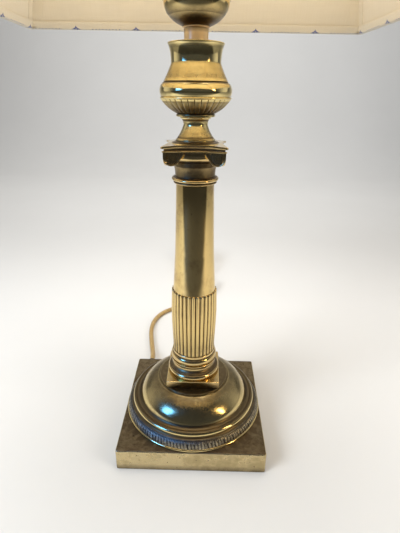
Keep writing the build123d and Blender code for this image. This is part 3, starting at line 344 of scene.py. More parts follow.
@dataclass(frozen=True)
class Weave(Finish):
    """Plain woven cloth, with a small generic sprig print where asked.

    Args:
        label: Name of the material.
        colour: Colour of the cloth.
        shade: Colour of its darker threads and of its soiling.
        thread: Threads per metre.
        printed: Whether the sprigs are printed on it.
        ink: Colour of the print.
    """

    label: str
    colour: tuple
    shade: tuple
    thread: float = 1500.0
    printed: bool = False
    ink: tuple = (0.05, 0.09, 0.30)

    def dress(self, g: Graph) -> None:
        """Adds threads both ways, slubs, soiling and the print. The UV map is in metres of cloth.

        Args:
            g: The material's graph.
        """
        u, v, _ = g.parts(g.uv())
        place = g.place()
        warp = (u * (self.thread * pi)).sin()
        weft = (v * (self.thread * pi)).sin()
        cross = abs(warp) * 0.5 + abs(weft) * 0.5
        slub = g.noise(g.scaled(g.uv(), (30.0, 900.0, 1.0)), 1.0, 2.0, 0.6)
        slub_b = g.noise(g.scaled(g.uv(), (900.0, 30.0, 1.0)), 1.0, 2.0, 0.6)
        soil = g.noise(place, 14.0, 4.0, 0.6)
        colour = g.mix(cross.step(0.1, 0.9) * 0.35 + (slub + slub_b - 1.0) * 0.35, self.shade, self.colour)
        colour = g.mix(soil.step(0.45, 0.85) * 0.35, colour, self.shade)
        if self.printed:
            colour = g.mix(self._print(u, v) * 0.9, colour, self.ink)
        g.surface(
            Base_Color=colour,
            Roughness=0.88,
            Sheen_Weight=0.25,
            Sheen_Roughness=0.5,
            Normal=g.bump(cross * 0.5 + slub * 0.25 + slub_b * 0.25, 0.00018),
        )

    @staticmethod
    def _print(u: Socket, v: Socket) -> Socket:
        """Mask of small four-petal stars on a half-drop grid, with a fine dotted line between.

        Args:
            u: Distance across the cloth in metres.
            v: Distance up the cloth in metres.

        Returns:
            One where there is ink.
        """
        pitch = 0.034
        column = (u / pitch).floor()
        drop = (column * 0.5).fract() * pitch
        a = (u / pitch).fract() - 0.5
        b = ((v + drop) / pitch).fract() - 0.5
        reach = (a * a + b * b) ** 0.5
        petals = abs(a * b) * 26.0 + reach
        star = 1.0 - petals.step(0.155, 0.175)
        heart = 1.0 - reach.step(0.020, 0.030)
        dots_a = abs((u / (pitch / 9.0)).fract() - 0.5)
        dots_b = abs(abs(b) - 0.5) * 9.0
        dotted = 1.0 - ((dots_a * dots_a + dots_b * dots_b) ** 0.5).step(0.15, 0.24)
        return (star * (1.0 - heart)).most(dotted)


@dataclass(frozen=True)
class OpalGlass(Finish):
    """Opal glass of the bulb.

    Args:
        label: Name of the material.
    """

    label: str = "opal_glass"

    def dress(self, g: Graph) -> None:
        """White glass with a soft gloss and a faint uneven coat.

        Args:
            g: The material's graph.
        """
        cloud = g.noise(g.place(), 40.0, 3.0, 0.5)
        g.surface(
            Base_Color=g.mix(cloud, (0.86, 0.85, 0.80), (0.80, 0.79, 0.74)),
            Roughness=cloud * 0.08 + 0.16,
            Coat_Weight=0.3,
            Subsurface_Weight=0.15,
            Subsurface_Scale=0.01,
        )


@dataclass(frozen=True)
class FlexSheath(Finish):
    """Gold-brown sheath of the cord.

    Args:
        label: Name of the material.
        colour: Its colour.
    """

    label: str = "flex_sheath"
    colour: tuple = (0.36, 0.23, 0.075)

    def dress(self, g: Graph) -> None:
        """Gloss, small scuffs and dust.

        Args:
            g: The material's graph.
        """
        place = g.place()
        dust = g.noise(place, 120.0, 4.0, 0.6)
        scuff = g.noise(place, 900.0, 2.0, 0.6)
        pale = (0.50, 0.36, 0.16)
        g.surface(
            Base_Color=g.mix(dust.step(0.4, 0.8) * 0.6, self.colour, pale),
            Roughness=dust * 0.2 + scuff * 0.1 + 0.22,
            Normal=g.bump(scuff, 0.00003),
        )


class Stock(Enum):
    """Finishes that the lamp's pieces are made in."""

    BRASS = AgedBrass()
    FOOT = AgedBrass("brass_foot", (0.80, 0.63, 0.29), (0.50, 0.39, 0.19), clouds=0.26, rough=0.05, spots=0.35)
    PLATE = AgedBrass(
        "base_brass", (0.66, 0.53, 0.29), (0.40, 0.31, 0.15),
        clouds=0.45, rough=0.26, spots=0.8, lines=0.0, grain=0.00002,
    )
    CAST = AgedBrass(
        "brass_cast", (0.76, 0.56, 0.25), (0.36, 0.25, 0.12), clouds=0.5, rough=0.10, spots=0.5, grain=0.000012
    )
    # Brighter, yellower brass on the urn: its own metal, brightened as painted light for the lit shade's glow reflected
    # on its shoulder
    URN = AgedBrass("brass_urn_painted_light", (0.93, 0.75, 0.34), (0.60, 0.47, 0.20), clouds=0.28, rough=0.085, spots=0.25)
    LEAF = AgedBrass(
        "brass_leaf", (0.50, 0.44, 0.31), (0.27, 0.24, 0.17), (0.045, 0.038, 0.03),
        clouds=0.6, rough=0.24, spots=0.6, lines=0.0, grain=0.00003,
    )
    NEW_BRASS = AgedBrass("brass_fitting", (0.84, 0.64, 0.28), (0.60, 0.44, 0.18), clouds=0.15, rough=0.07, spots=0.1)
    # Paler, rougher brass on the neck: its own metal, paled as painted light for the lit shade's glow reflected in the
    # tube
    NECK = AgedBrass("neck_brass_painted_light", (0.94, 0.70, 0.40), (0.80, 0.56, 0.28), clouds=0.1, rough=0.30, spots=0.0)
    STEEL = PlainMetal("steel_wire", (0.52, 0.52, 0.50), 0.38)
    ZINC = PlainMetal("zinc_plate", (0.55, 0.56, 0.55), 0.34)
    ALUMINIUM = PlainMetal("aluminium_cap", (0.70, 0.70, 0.69), 0.30)
    BAKELITE = Moulded("dark_mouldings", (0.030, 0.022, 0.018), 0.32)
    BLACK_GLASS = Moulded("insulator_glass", (0.012, 0.011, 0.014), 0.15, 0.5)
    PLUG = Moulded("brown_plug", (0.085, 0.045, 0.02), 0.35, 0.1)
    FIBRE = Moulded("fibre_liner", (0.22, 0.16, 0.10), 0.8)
    FELT = Weave("green_felt", (0.06, 0.09, 0.045), (0.03, 0.05, 0.025), 900.0)
    CLOTH = Weave("shade_cloth", (0.80, 0.74, 0.60), (0.62, 0.55, 0.42), 1500.0, True)
    LINING = Weave("shade_lining", (0.84, 0.78, 0.66), (0.70, 0.62, 0.48), 1900.0)
    HEM = Weave("shade_hem", (0.84, 0.79, 0.68), (0.68, 0.61, 0.48), 1500.0, True)
    OPAL = OpalGlass()
    FLEX = FlexSheath()


# -------------------------------------------------------------------- mesh makers
def build_mesh(
    name: str, verts: np.ndarray, quads: np.ndarray, tris: Optional[np.ndarray] = None, sharp: float = 38.0
) -> bpy.types.Object:
    """Puts whole arrays into a new mesh object.

    Args:
        name: Name of the piece.
        verts: Points in millimetres, n by 3.
        quads: Four point numbers per face.
        tris: Three point numbers per face, for poles.
        sharp: Angle in degrees from which an edge is drawn sharp.

    Returns:
        The object, at the origin, with smooth faces turned outwards.
    """
    tris = np.zeros((0, 3), np.int32) if tris is None else tris
    loops = np.concatenate([quads.ravel(), tris.ravel()]).astype(np.int32)
    totals = np.concatenate([np.full(len(quads), 4), np.full(len(tris), 3)]).astype(np.int32)
    starts = np.concatenate([[0], np.cumsum(totals)[:-1]]).astype(np.int32)
    mesh = bpy.data.meshes.new(name)
    mesh.vertices.add(len(verts))
    mesh.vertices.foreach_set("co", (np.asarray(verts, float) * MM).ravel())
    mesh.loops.add(len(loops))
    mesh.loops.foreach_set("vertex_index", loops)
    mesh.polygons.add(len(totals))
    mesh.polygons.foreach_set("loop_start", starts)
    mesh.update(calc_edges=True)
    mesh.validate()
    outward = bmesh.new()
    outward.from_mesh(mesh)
    bmesh.ops.recalc_face_normals(outward, faces=outward.faces)
    outward.to_mesh(mesh)
    outward.free()
    mesh.shade_smooth()
    mesh.set_sharp_from_angle(angle=radians(sharp))
    obj = bpy.data.objects.new(name, mesh)
    bpy.context.scene.collection.objects.link(obj)
    return obj


def angles(count: int) -> np.ndarray:
    """Angles spread evenly round a circle."""
    return np.linspace(0, 2 * pi, count, endpoint=False)


def polar(r: np.ndarray, a: np.ndarray, z: np.ndarray) -> np.ndarray:
    """Points at radius r, angle a and height z, which are spread to one shape."""
    return np.stack(np.broadcast_arrays(r * np.cos(a), r * np.sin(a), z), -1)


def spun(x: np.ndarray, y: np.ndarray, angle: float) -> tuple[np.ndarray, np.ndarray]:
    """Points (x, y) turned about the axis by an angle in radians."""
    c, s = cos(angle), sin(angle)
    return x * c - y * s, x * s + y * c


def four_sides(x: np.ndarray, y: np.ndarray) -> np.ndarray:
    """Points (x, y) of one side of a square, and of its other three sides."""
    return np.concatenate([np.stack(spun(x, y, k * pi / 2), 1) for k in range(4)])


def cut_up(loop: np.ndarray, count: int) -> np.ndarray:
    """A closed loop of points with each run cut into count equal runs."""
    t = np.linspace(0, 1, count, endpoint=False)[:, None]
    return np.concatenate([p + (q - p) * t for p, q in zip(loop, np.roll(loop, -1, 0))])


def grid_faces(rows: int, cols: int, wrap_rows: bool, wrap_cols: bool) -> np.ndarray:
    """Quads of a grid of points numbered row by row.

    Args:
        rows: Number of rows.
        cols: Points in a row.
        wrap_rows: Whether the last row joins the first.
        wrap_cols: Whether each row closes on itself.

    Returns:
        Four point numbers per face.
    """
    i = np.arange(rows if wrap_rows else rows - 1)[:, None]
    j = np.arange(cols if wrap_cols else cols - 1)[None, :]
    i2 = (i + 1) % rows
    j2 = (j + 1) % cols
    corners = [i * cols + j, i * cols + j2, i2 * cols + j2, i2 * cols + j]
    return np.stack([np.broadcast_to(c, (i.size, j.size)) for c in corners], -1).reshape(-1, 4)


def hoop(name: str, rings: Sequence[np.ndarray], sharp: float = 38.0) -> bpy.types.Object:
    """Rings of points joined to one closed skin, the last ring to the first."""
    faces = grid_faces(len(rings), len(rings[0]), True, True)
    return build_mesh(name, np.concatenate(rings), faces, sharp=sharp)


def tube(name: str, verts: np.ndarray, rows: int, cols: int, sharp: float = 38.0) -> bpy.types.Object:
    """Rings of points joined to a tube, and closed by a fan of triangles at each end.

    Args:
        name: Name of the piece.
        verts: The rings' points, then the middle of the first end and that of the last.
        rows: Number of rings.
        cols: Points in a ring.
        sharp: Angle in degrees from which an edge is drawn sharp.

    Returns:
        The object.
    """
    j = np.arange(cols)
    j2 = (j + 1) % cols
    n = rows * cols
    first = np.stack([np.full(cols, n), j2, j], 1)
    last = np.stack([np.full(cols, n + 1), n - cols + j, n - cols + j2], 1)
    return build_mesh(name, verts, grid_faces(rows, cols, False, True), np.vstack([first, last]), sharp)


def keep_number(obj: bpy.types.Object, name: str, values: np.ndarray) -> None:
    """Keeps one number per point on a mesh, for its material."""
    layer = obj.data.attributes.new(name, "FLOAT", "POINT")
    layer.data.foreach_set("value", np.asarray(values, np.float32).ravel())


def keep_wear(obj: bpy.types.Object, section: Sequence[tuple], count: int, ends: Sequence[tuple] = ()) -> None:
    """Keeps the mask of dark patina and painted shade, and the wear, from the last two numbers of a section's rows.

    Args:
        obj: Piece with one ring of points for each row.
        section: The rows.
        count: Points in a ring.
        ends: The two numbers for each point after the rings.
    """
    table = np.vstack([np.repeat([row[-2:] for row in section], count, axis=0), *ends])
    keep_number(obj, "patina_and_shade", table[:, 0])
    keep_number(obj, "worn", table[:, 1])


def keep_uv(obj: bpy.types.Object, u: np.ndarray, v: np.ndarray) -> None:
    """Keeps a UV map in metres of cloth.

    Args:
        obj: The piece.
        u: Distance across for each point.
        v: Distance up for each point.
    """
    layer = obj.data.uv_layers.new(name="cloth")
    index = np.empty(len(obj.data.loops), np.int32)
    obj.data.loops.foreach_get("vertex_index", index)
    layer.data.foreach_set("uv", np.stack([u[index], v[index]], 1).ravel())


def finish_piece(
    obj: bpy.types.Object, stock: Stock, nodes: Sequence[str] = (), body: str = "stand"
) -> None:
    """Gives a piece its material and body, and hides the CAD nodes that it stands for.

    Args:
        obj: The piece.
        stock: Its finish.
        nodes: The CAD nodes that it stands for.
        body: The CAD body that it rides on.
    """
    obj.data.materials.clear()
    obj.data.materials.append(stock.value.material())
    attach(obj, body)
    if nodes:
        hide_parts(*nodes)
    log.info("piece %s", obj.name)


def dress_node(name: str, stock: Stock) -> bpy.types.Object:
    """Gives a finish to a CAD node that keeps its own mesh.

    Args:
        name: Name of the node.
        stock: Its finish.

    Returns:
        The node's object.
    """
    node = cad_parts[name]
    node.data.materials.clear()
    node.data.materials.append(stock.value.material())
    log.info("node %s in %s", name, stock.name)
    return node


def heights(node: str) -> tuple[float, float]:
    """Lowest and highest z of a CAD node, in millimetres."""
    low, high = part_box(node)
    return low[2] / MM, high[2] / MM


@dataclass(frozen=True)
class Outline:
    """Closed outline of a turned piece: a start, then moves of (r, z), or (r_mid, z_mid, r, z) for an arc.

    Args:
        start: First point.
        moves: The moves.
        edge: How far each corner is eased, in millimetres.
        step: Angle between points on an arc, in degrees.
    """

    start: tuple
    moves: tuple
    edge: float = 0.22
    step: float = 5.0

    def raw(self) -> np.ndarray:
        """Divides the arcs evenly.

        Returns:
            Points along the outline.
        """
        points = [np.array([self.start], float)]
        here = np.array(self.start, float)
        for move in self.moves:
            end = np.array(move[-2:], float)
            if len(move) == 4:
                points.append(self._arc(here, np.array(move[:2], float), end))
            else:
                points.append(end[None])
            here = end
        joined = np.concatenate(points)
        if np.allclose(joined[0], joined[-1]):
            joined = joined[:-1]
        return joined

    def _arc(self, a: np.ndarray, m: np.ndarray, b: np.ndarray) -> np.ndarray:
        """Divides one arc, whose centre is equally far from its three points.

        Args:
            a: Its start.
            m: A point on it.
            b: Its end.

        Returns:
            Points after the start, up to the end.
        """
        left = 2 * np.array([m - a, b - a])
        right = np.array([m @ m - a @ a, b @ b - a @ a])
        centre = np.linalg.solve(left, right)
        radius = np.linalg.norm(a - centre)
        angles = np.unwrap([np.arctan2(*(p - centre)[::-1]) for p in (a, m, b)])
        count = max(3, int(abs(np.degrees(angles[2] - angles[0])) / self.step) + 1)
        t = np.linspace(angles[0], angles[2], count + 1)[1:, None]
        return centre + radius * np.hstack([np.cos(t), np.sin(t)])

    def eased(self) -> np.ndarray:
        """Replaces each corner of over 25 degrees by a small curve through five points.

        Returns:
            Points along the eased outline.
        """
        p = self.raw()
        before = np.roll(p, 1, 0) - p
        after = np.roll(p, -1, 0) - p
        lb = np.linalg.norm(before, axis=1)
        la = np.linalg.norm(after, axis=1)
        turn = np.degrees(np.arccos(np.clip(-(before * after).sum(1) / (lb * la), -1, 1)))
        out = []
        for i in range(len(p)):
            if turn[i] < 25 or p[i, 0] < ON_AXIS:
                out.append(p[i][None])
                continue
            cut = min(self.edge, 0.4 * lb[i], 0.4 * la[i])
            a = p[i] + before[i] / lb[i] * cut
            b = p[i] + after[i] / la[i] * cut
            t = np.linspace(0, 1, 5)[:, None]
            out.append((1 - t) ** 2 * a + 2 * t * (1 - t) * p[i] + t**2 * b)
        return np.concatenate(out)

    def dense(self, longest: float) -> np.ndarray:
        """Cuts up the runs of the eased outline.

        Args:
            longest: Longest run that is left.

        Returns:
            Points along it.
        """
        p = self.eased()
        q = np.roll(p, -1, 0)
        out = []
        for a, b in zip(p, q):
            count = max(1, int(np.ceil(np.linalg.norm(b - a) / longest)))
            out.append(a + (b - a) * np.linspace(0, 1, count, endpoint=False)[:, None])
        return np.concatenate(out)


def relief(points: np.ndarray) -> tuple[np.ndarray, np.ndarray]:
    """How deep each point of an outline lies in a groove, which the brass darkens with patina and painted shade, and
    how far it stands out from its neighbours, which shows wear.

    Args:
        points: The outline's (r, z).

    Returns:
        For each point, from 0 to 1: its fall below the largest radius near it, after the first 0.35 mm, and its
        rise above the mean radius near it.
    """
    groove_reach, groove_depth, edge_reach, edge_rise = 2.2, 1.3, 1.6, 0.25
    gap = np.linalg.norm(points[:, None] - points[None], axis=2)
    own, others = points[:, 0], points[None, :, 0]
    fall = np.where(gap < groove_reach, others, -1.0).max(1) - own - 0.35
    near = gap < edge_reach
    mean = (near * others).sum(1) / near.sum(1)
    return np.clip(fall / groove_depth, 0, 1), np.clip((own - mean) / edge_rise, 0, 1)


def turned(
    name: str,
    outline: Outline,
    cols: int = 192,
    longest: float = 2.0,
    swell: Optional[Callable[[np.ndarray, np.ndarray, np.ndarray], tuple]] = None,
) -> bpy.types.Object:
    """Turns an outline about the lamp's axis: x = r cos a, y = r sin a, with r changed by swell.

    Args:
        name: Name of the piece.
        outline: Its closed outline.
        cols: Points round the axis.
        longest: Longest run between rows.
        swell: From angle, r and z to what is added to r, and the mask of patina and painted shade there.

    Returns:
        The object, with numbers on its points for dark patina and painted shade in its grooves, and for wear.
    """
    rz = outline.dense(longest)
    on_axis = rz[:, 0] < ON_AXIS
    if on_axis.any():
        first = int(np.argmax(on_axis & ~np.roll(on_axis, 1)))
        rz = np.roll(rz, -first, axis=0)
        on_axis = np.roll(on_axis, -first)
        keep = np.ones(len(rz), bool)
        keep[np.nonzero(on_axis)[0][1:-1]] = False
        return _turned_open(name, np.roll(rz[keep], -1, axis=0), cols)
    a = angles(cols)[None, :]
    r, z, patina_and_shade, worn = (
        np.broadcast_to(column[:, None], (len(rz), cols)) for column in (*rz.T, *relief(rz))
    )
    if swell:
        more, mask = swell(a, r, z)
        r = r + more
        patina_and_shade = np.maximum(patina_and_shade, mask)
        worn = worn * (1 - mask)
    obj = hoop(name, polar(r, a, z))
    keep_number(obj, "patina_and_shade", patina_and_shade)
    keep_number(obj, "worn", worn)
    return obj


def _turned_open(name: str, rz: np.ndarray, cols: int) -> bpy.types.Object:
    """Turns an outline that meets the axis, and closes both poles with fans.

    Args:
        name: Name of the piece.
        rz: The outline's (r, z); those on the axis are its poles.
        cols: Points round the axis.

    Returns:
        The object.
    """
    on_axis = rz[:, 0] < ON_AXIS
    body, poles = rz[~on_axis], rz[on_axis]
    ends = [poles[np.argmin(np.linalg.norm(poles - end, axis=1))] for end in (body[0], body[-1])]
    rings = polar(body[:, :1], angles(cols)[None, :], body[:, 1:]).reshape(-1, 3)
    return tube(name, np.vstack([rings, [(0.0, 0.0, z) for _, z in ends]]), len(body), cols)


def along(name: str, line: np.ndarray, radius: np.ndarray, cols: int) -> bpy.types.Object:
    """Round bar along a line: a circle across each point, its frame carried along without twist.

    Args:
        name: Name of the piece.
        line: Points in millimetres.
        radius: One for each point.
        cols: Points round the bar.

    Returns:
        The bar, closed at both ends.
    """
    heading = np.gradient(line, axis=0)
    heading /= np.linalg.norm(heading, axis=1)[:, None]
    side = np.zeros_like(line)
    first = np.cross(heading[0], [0.31, 0.17, 0.93])
    side[0] = first / np.linalg.norm(first)
    for i in range(1, len(line)):
        carried = side[i - 1] - heading[i] * (side[i - 1] @ heading[i])
        side[i] = carried / np.linalg.norm(carried)
    other = np.cross(heading, side)
    a = angles(cols)[None, :, None]
    ring = line[:, None] + radius[:, None, None] * (np.cos(a) * side[:, None] + np.sin(a) * other[:, None])
    return tube(name, np.vstack([ring.reshape(-1, 3), line[:1], line[-1:]]), len(line), cols, 50.0)


# --------------------------------------------------------------- base and column
@dataclass
class Base:
    """Square plate with its felt, and the round foot with its leaf band.

    Args:
        top: Height of the plate's top.
        side: Its width.
        leaves: Number of leaves round the band.
    """

    top: float = 23.2
    side: float = 140.0
    leaves: int = 132

    def build(self) -> None:
        """Builds and dresses the base."""
        self.felt()
        self.plate()
        self.foot()
        self.leaf_band()

    def felt(self) -> None:
        """Felt pad: a rounded square of points pushed out by a soft, furry unevenness of 0.1 mm."""
        count, half, corner = 240, 68.3, 0.9
        section = ((0.02, 0.3), (0.3, 0.0), (0.9, 0.0), (1.19, 0.2))
        a = angles(count)
        uneven = half + np.random.default_rng(4).normal(0, 0.06, count)
        reach = uneven / np.maximum(abs(np.cos(a)), abs(np.sin(a)))
        reach = np.minimum(reach, half * sqrt(2) - corner)
        rows = [polar(reach - inset, a, z) for z, inset in section]
        verts = np.vstack([*rows, [[0, 0, section[0][0]], [0, 0, section[-1][0]]]])
        pad = tube("felt_base", verts, len(section), count)
        keep_uv(pad, verts[:, 0] * MM, verts[:, 1] * MM)
        finish_piece(pad, Stock.FELT, ["felt_pad"])

    def plate(self) -> None:
        """Square plate: a rounded square carried along a section of wall, eased edge, top, round window and inside."""
        half, corner, inner_corner, window, foot_edge = self.side / 2, 2.0, 0.3, 24.0, 69.5
        section = (
            (0.0, 1.2), (0.0, 1.6), (-0.02, 8.0), (0.0, 15.0), (0.0, 21.4), (0.08, 22.1), (0.35, 22.7), (0.8, 23.08),
            (1.4, 23.2), (6.0, 23.2), (12.0, 23.19), (18.0, 23.2), (24.9, 23.2), (25.0, 23.1), (25.0, 19.3),
            (24.9, 19.2), (4.2, 19.2), (4.0, 19.0), (4.0, 1.4), (3.9, 1.2),
        )
        t = np.linspace(-1, 1, 16, endpoint=False)
        square = cut_up(four_sides(np.ones_like(t), t), 6)
        circle = square / np.hypot(*square.T)[:, None]
        rows = []
        for inset, z in section:
            h = half - inset
            r = max(inner_corner, corner - inset)
            flat = abs(square * h)
            over = np.maximum(flat - (h - r), 0)
            far = np.hypot(*over.T)
            pull = np.where((over > 0).all(1) & (far > r), r / np.maximum(far, 1e-9), 1.0)[:, None]
            rounded = np.sign(square) * (np.minimum(flat, h - r) + over * pull)
            rows.append(np.hstack([circle * h if inset > window else rounded, np.full((len(square), 1), z)]))
        obj = hoop("base_casting", rows, 50.0)
        worn = [1.0 if 22.0 < z < 23.15 and inset < 2 else 0.0 for inset, z in section]
        keep_number(obj, "worn", np.repeat(worn, len(square)))
        x, y, z = np.concatenate(rows).T
        on_top = z > 23.0
        near_foot = np.clip(1 - abs(np.hypot(x, y) - foot_edge) / 2.6, 0, 1) * on_top
        # Painted shade: a ring on the top along the foot's edge and the lowest rows by the felt; the top face darkened
        # all over as a painted dark reflection
        keep_number(obj, "patina_and_shade", near_foot * 0.5 + (z < 1.9) * 0.6 + on_top * 0.80)
        finish_piece(obj, Stock.PLATE, ["base_plate"])

    def foot(self) -> None:
        """Round foot: the outline turned, with its metal beaten a few hundredths of a millimetre out of true."""
        z = self.top
        outline = Outline(
            (53.0, z),
            (
                (68.9, z), (69.6, z + 1.1, 68.9, z + 2.2), (68.2, z + 2.4), (67.0, z + 7.1, 64.4, z + 10.2),
                (64.0, z + 10.3), (63.2, z + 10.9, 62.8, z + 12.1), (62.3, z + 15.1, 60.1, z + 16.2), (59.1, z + 15.4),
                (56.8, z + 15.6, 54.99, z + 17.0), (48.0, z + 28.32, 36.0, z + 35.52), (35.0, z + 35.4),
                (35.0, z + 36.9), (34.7, z + 37.2), (5.1, z + 37.2), (5.1, z + 32.4), (33.7, z + 32.4),
                (44.8, z + 27.1, 51.8, z + 15.4), (53.0, z + 10.0),
            ),
            0.3,
            3.0,
        )

        def beaten(a: np.ndarray, r: np.ndarray, h: np.ndarray) -> tuple:
            """A few slow waves round the dome.

            Args:
                a: Angle round the axis.
                r: Radius.
                h: Height.

            Returns:
                What is added to the radius, and the mask of patina and painted shade, here none.
            """
            dome = np.clip((h - z - 16) / 6, 0, 1) * np.clip((z + 35 - h) / 5, 0, 1)
            wave = 0.035 * np.sin(3 * a + 0.7) + 0.02 * np.sin(7 * a + h * 0.2) + 0.012 * np.sin(13 * a - h * 0.5)
            return wave * dome, np.zeros_like(r)

        finish_piece(turned("round_foot", outline, 320, 1.5, beaten), Stock.FOOT, ["foot"])

    def leaf_band(self) -> None:
        """Carved band over the ovolo: a row of uneven lobed leaves with buds between, inside a fine rim each way."""
        cols, rows = self.leaves * 12, 26
        s = np.linspace(0, 1, rows)[:, None]
        a = angles(cols)[None, :]
        z0, z1 = self.top + 2.5, self.top + 10.1
        z = z0 + (z1 - z0) * s
        ovolo = Outline((68.2, 2.4), ((67.0, 7.1, 64.4, 10.2),), step=2.0).raw()
        r = np.interp(z - self.top, ovolo[:, 1], ovolo[:, 0]) + 0.04
        place = a * self.leaves / (2 * pi)
        rng = np.random.default_rng(11)
        shift, size, tilt = rng.uniform(-1, 1, (3, self.leaves))[:, (place.astype(int)) % self.leaves]
        leaf = place % 1.0 - 0.5 + 0.12 * shift + (0.5 + 0.3 * tilt) * (s - 0.5)
        width = 0.50 * np.sqrt(np.clip(1 - ((s - 0.36) / 0.52) ** 2, 0, 1)) * (1 - 0.5 * s)
        inside = np.clip(1 - abs(leaf) / np.maximum(width, 0.02), 0, 1)
        lobes = 0.5 + 0.5 * np.cos(s * 30 - abs(leaf) * 16)
        rib = np.exp(-((leaf / 0.06) ** 2))
        leaf_height = np.minimum(1, inside * 2.6) * (0.45 + 0.35 * lobes * (1 - rib) + 0.12 * size)
        height = np.where(width > 0.03, leaf_height, 0)
        bud = np.clip(1 - np.hypot((abs(leaf) - 0.5) / 0.2, (s - 0.74) / 0.16), 0, 1)
        rims = sum(np.clip(1 - abs(s - at) / 0.03, 0, 1) * 0.45 for at in (0.03, 0.97))
        height = np.clip(np.maximum(np.maximum(height, bud * 0.8), rims), 0, 1)
        chips = rng.uniform(0, 1, (rows, cols // 6)).repeat(6, 1)
        chips = (chips + np.roll(chips, 2, 1) + np.roll(chips, 1, 0)) / 3
        height = np.clip(height * (0.35 + 1.15 * chips), 0, 1)
        front, back, end = r + 0.62 * height, r - 0.6, np.ones((1, cols))
        grid_r = np.vstack([back[:1] * end, front, back[-1:] * end])
        grid_z = np.vstack([z[:1], z, z[-1:]])
        obj = hoop("leaf_band", polar(grid_r, a, grid_z), 60.0)
        # Dark between and round the leaves: patina and painted shade
        mask = np.vstack([end, 0.85 - np.clip(height * 1.25, 0, 0.85), end])
        keep_number(obj, "patina_and_shade", mask)
        keep_number(obj, "worn", np.clip(1 - mask * 2, 0, 1))
        finish_piece(obj, Stock.LEAF)


@dataclass
class Column:
    """Plinth with its Attic base, and the shaft.

    Args:
        foot_top: Height of the foot's disc.
        plinth_rise: Height of the plinth.
        rounds_rise: Height of the Attic base.
        reeds: Number of reeds.
    """

    foot_top: float = 60.4
    plinth_rise: float = 7.6
    rounds_rise: float = 25.3
    reeds: int = 32

    def build(self) -> None:
        """Builds and dresses the column."""
        self.plinth()
        self.rounds()
        self.shaft()

    def plinth(self) -> None:
        """Square plinth: eased square rings carried up its height, with a bore closed by the rounds above."""
        t = np.linspace(-1, 1, 12, endpoint=False)
        ring = four_sides(np.ones_like(t), t)
        # Rows: half width, rise, patina and painted shade, wear; the lowest rows carry a painted shadow along the
        # plinth's foot
        section = (
            (5.2, 0.0, 0.9, 0), (25.4, 0.0, 0.9, 0), (25.7, 0.03, 0.8, 0), (25.8, 0.15, 0.6, 0), (25.8, 0.4, 0.3, 0),
            (25.8, 6.9, 0, 0.3), (25.8, 7.2, 0, 1), (25.72, 7.4, 0, 1), (25.52, 7.55, 0, 1), (25.25, 7.6, 0, 1),
            (24.8, 7.6, 0.1, 0.6), (5.2, 7.6, 0.6, 0),
        )
        rows = []
        for half, rise, _, _ in section:
            square = ring * half
            cut = np.maximum(abs(square).sum(1) - (2 * half - 0.35), 0)[:, None] / 2
            z = np.full((len(ring), 1), self.foot_top + rise)
            rows.append(np.hstack([square - np.sign(square) * cut, z]))
        obj = hoop("plinth", rows, 50.0)
        keep_wear(obj, section, len(ring))
        finish_piece(obj, Stock.CAST, ["plinth_base"])

    def rounds(self) -> None:
        """Attic base: two rounds with a hollow between, turned."""
        z = self.foot_top + self.plinth_rise
        outline = Outline(
            (5.1, z - 1),
            (
                (24.2, z - 1), (24.2, z), (25.6, z + 2.9, 23.8, z + 5.6), (23.3, z + 5.6), (23.3, z + 6.6),
                (21.0, z + 9.6, 21.8, z + 13.6), (22.2, z + 13.6), (22.2, z + 14.5), (21.4, z + 14.5),
                (22.6, z + 18.0, 21.4, z + 21.5), (20.6, z + 21.5), (20.6, z + 22.7), (21.0, z + 22.7),
                (21.0, z + 24.8), (20.6, z + 25.25), (12.4, z + 25.25), (12.4, z + 28.3), (5.1, z + 28.3),
            ),
            0.25,
            8.0,
        )
        finish_piece(turned("attic_rounds", outline, 192, 1.6), Stock.CAST)

    def shaft(self) -> None:
        """Shaft: the plain taper plus, below, reeds that stand out by a rounded profile and end in half-round tops."""
        z = self.foot_top + self.plinth_rise + self.rounds_rise
        top, low_end, high_end, bore, reed_radius = 65.4, 0.02, 164.28, 12.6, 21.2
        rises = (np.linspace(0.3, 58, 40), np.linspace(58.6, 66.4, 42), np.linspace(67.5, 164.0, 60))
        h = np.concatenate([[low_end], *rises, [high_end]])[:, None]
        cols = self.reeds * 14
        a = angles(cols)[None, :]
        crest = np.interp(h, (0, 6, 18, 30, 42, top), (20.5, 20.5, 21.0, 21.5, 21.8, 21.2))
        plain_z = (0, 42, top, 83, 102, 121, 140, 157, 164.3)
        plain = np.interp(h, plain_z, (19.3, 20.3, 19.8, 18.75, 17.75, 17.15, 16.7, 16.3, 16.15))
        across = ((a * self.reeds / (2 * pi) + 0.5) % 1.0 - 0.5) * 2 * pi * reed_radius / self.reeds
        half = pi * reed_radius / self.reeds * 0.96
        spring = top - half
        width = np.where(h < spring, half, np.sqrt(np.clip(half**2 - (h - spring) ** 2, 1e-6, None)))
        width = np.where(h > top, 1e-4, width)
        share = np.clip(1 - (across / width) ** 2, 0, 1)
        proud = (crest - plain) * np.sqrt(share) * np.clip((top - h) / 0.8, 0, 1) ** 0.5
        # Grooves between the reeds, and the lowest 1.2 mm where the shaft meets the rounds, darkened with patina and
        # painted shade
        patina_and_shade = np.where(h < top, np.clip(1.4 - proud / 0.90, 0, 1), 0) * np.clip((top + 0.5 - h) / 1.5, 0, 1)
        patina_and_shade = np.maximum(patina_and_shade, np.clip((1.2 - h) / 1.2, 0, 1) * 0.8)
        worn = np.where(h < top, np.clip(proud - 0.95, 0, 1) * 1.6, 0)
        rings = [polar(plain + proud, a, z + h), *(polar(bore, a, z + end) for end in (high_end, low_end))]
        obj = hoop("reeded_shaft", np.concatenate(rings), 42.0)
        for name, values in (("patina_and_shade", patina_and_shade), ("worn", worn)):
            keep_number(obj, name, np.vstack([values, np.zeros((2, cols))]))
        finish_piece(obj, Stock.BRASS, ["shaft"])


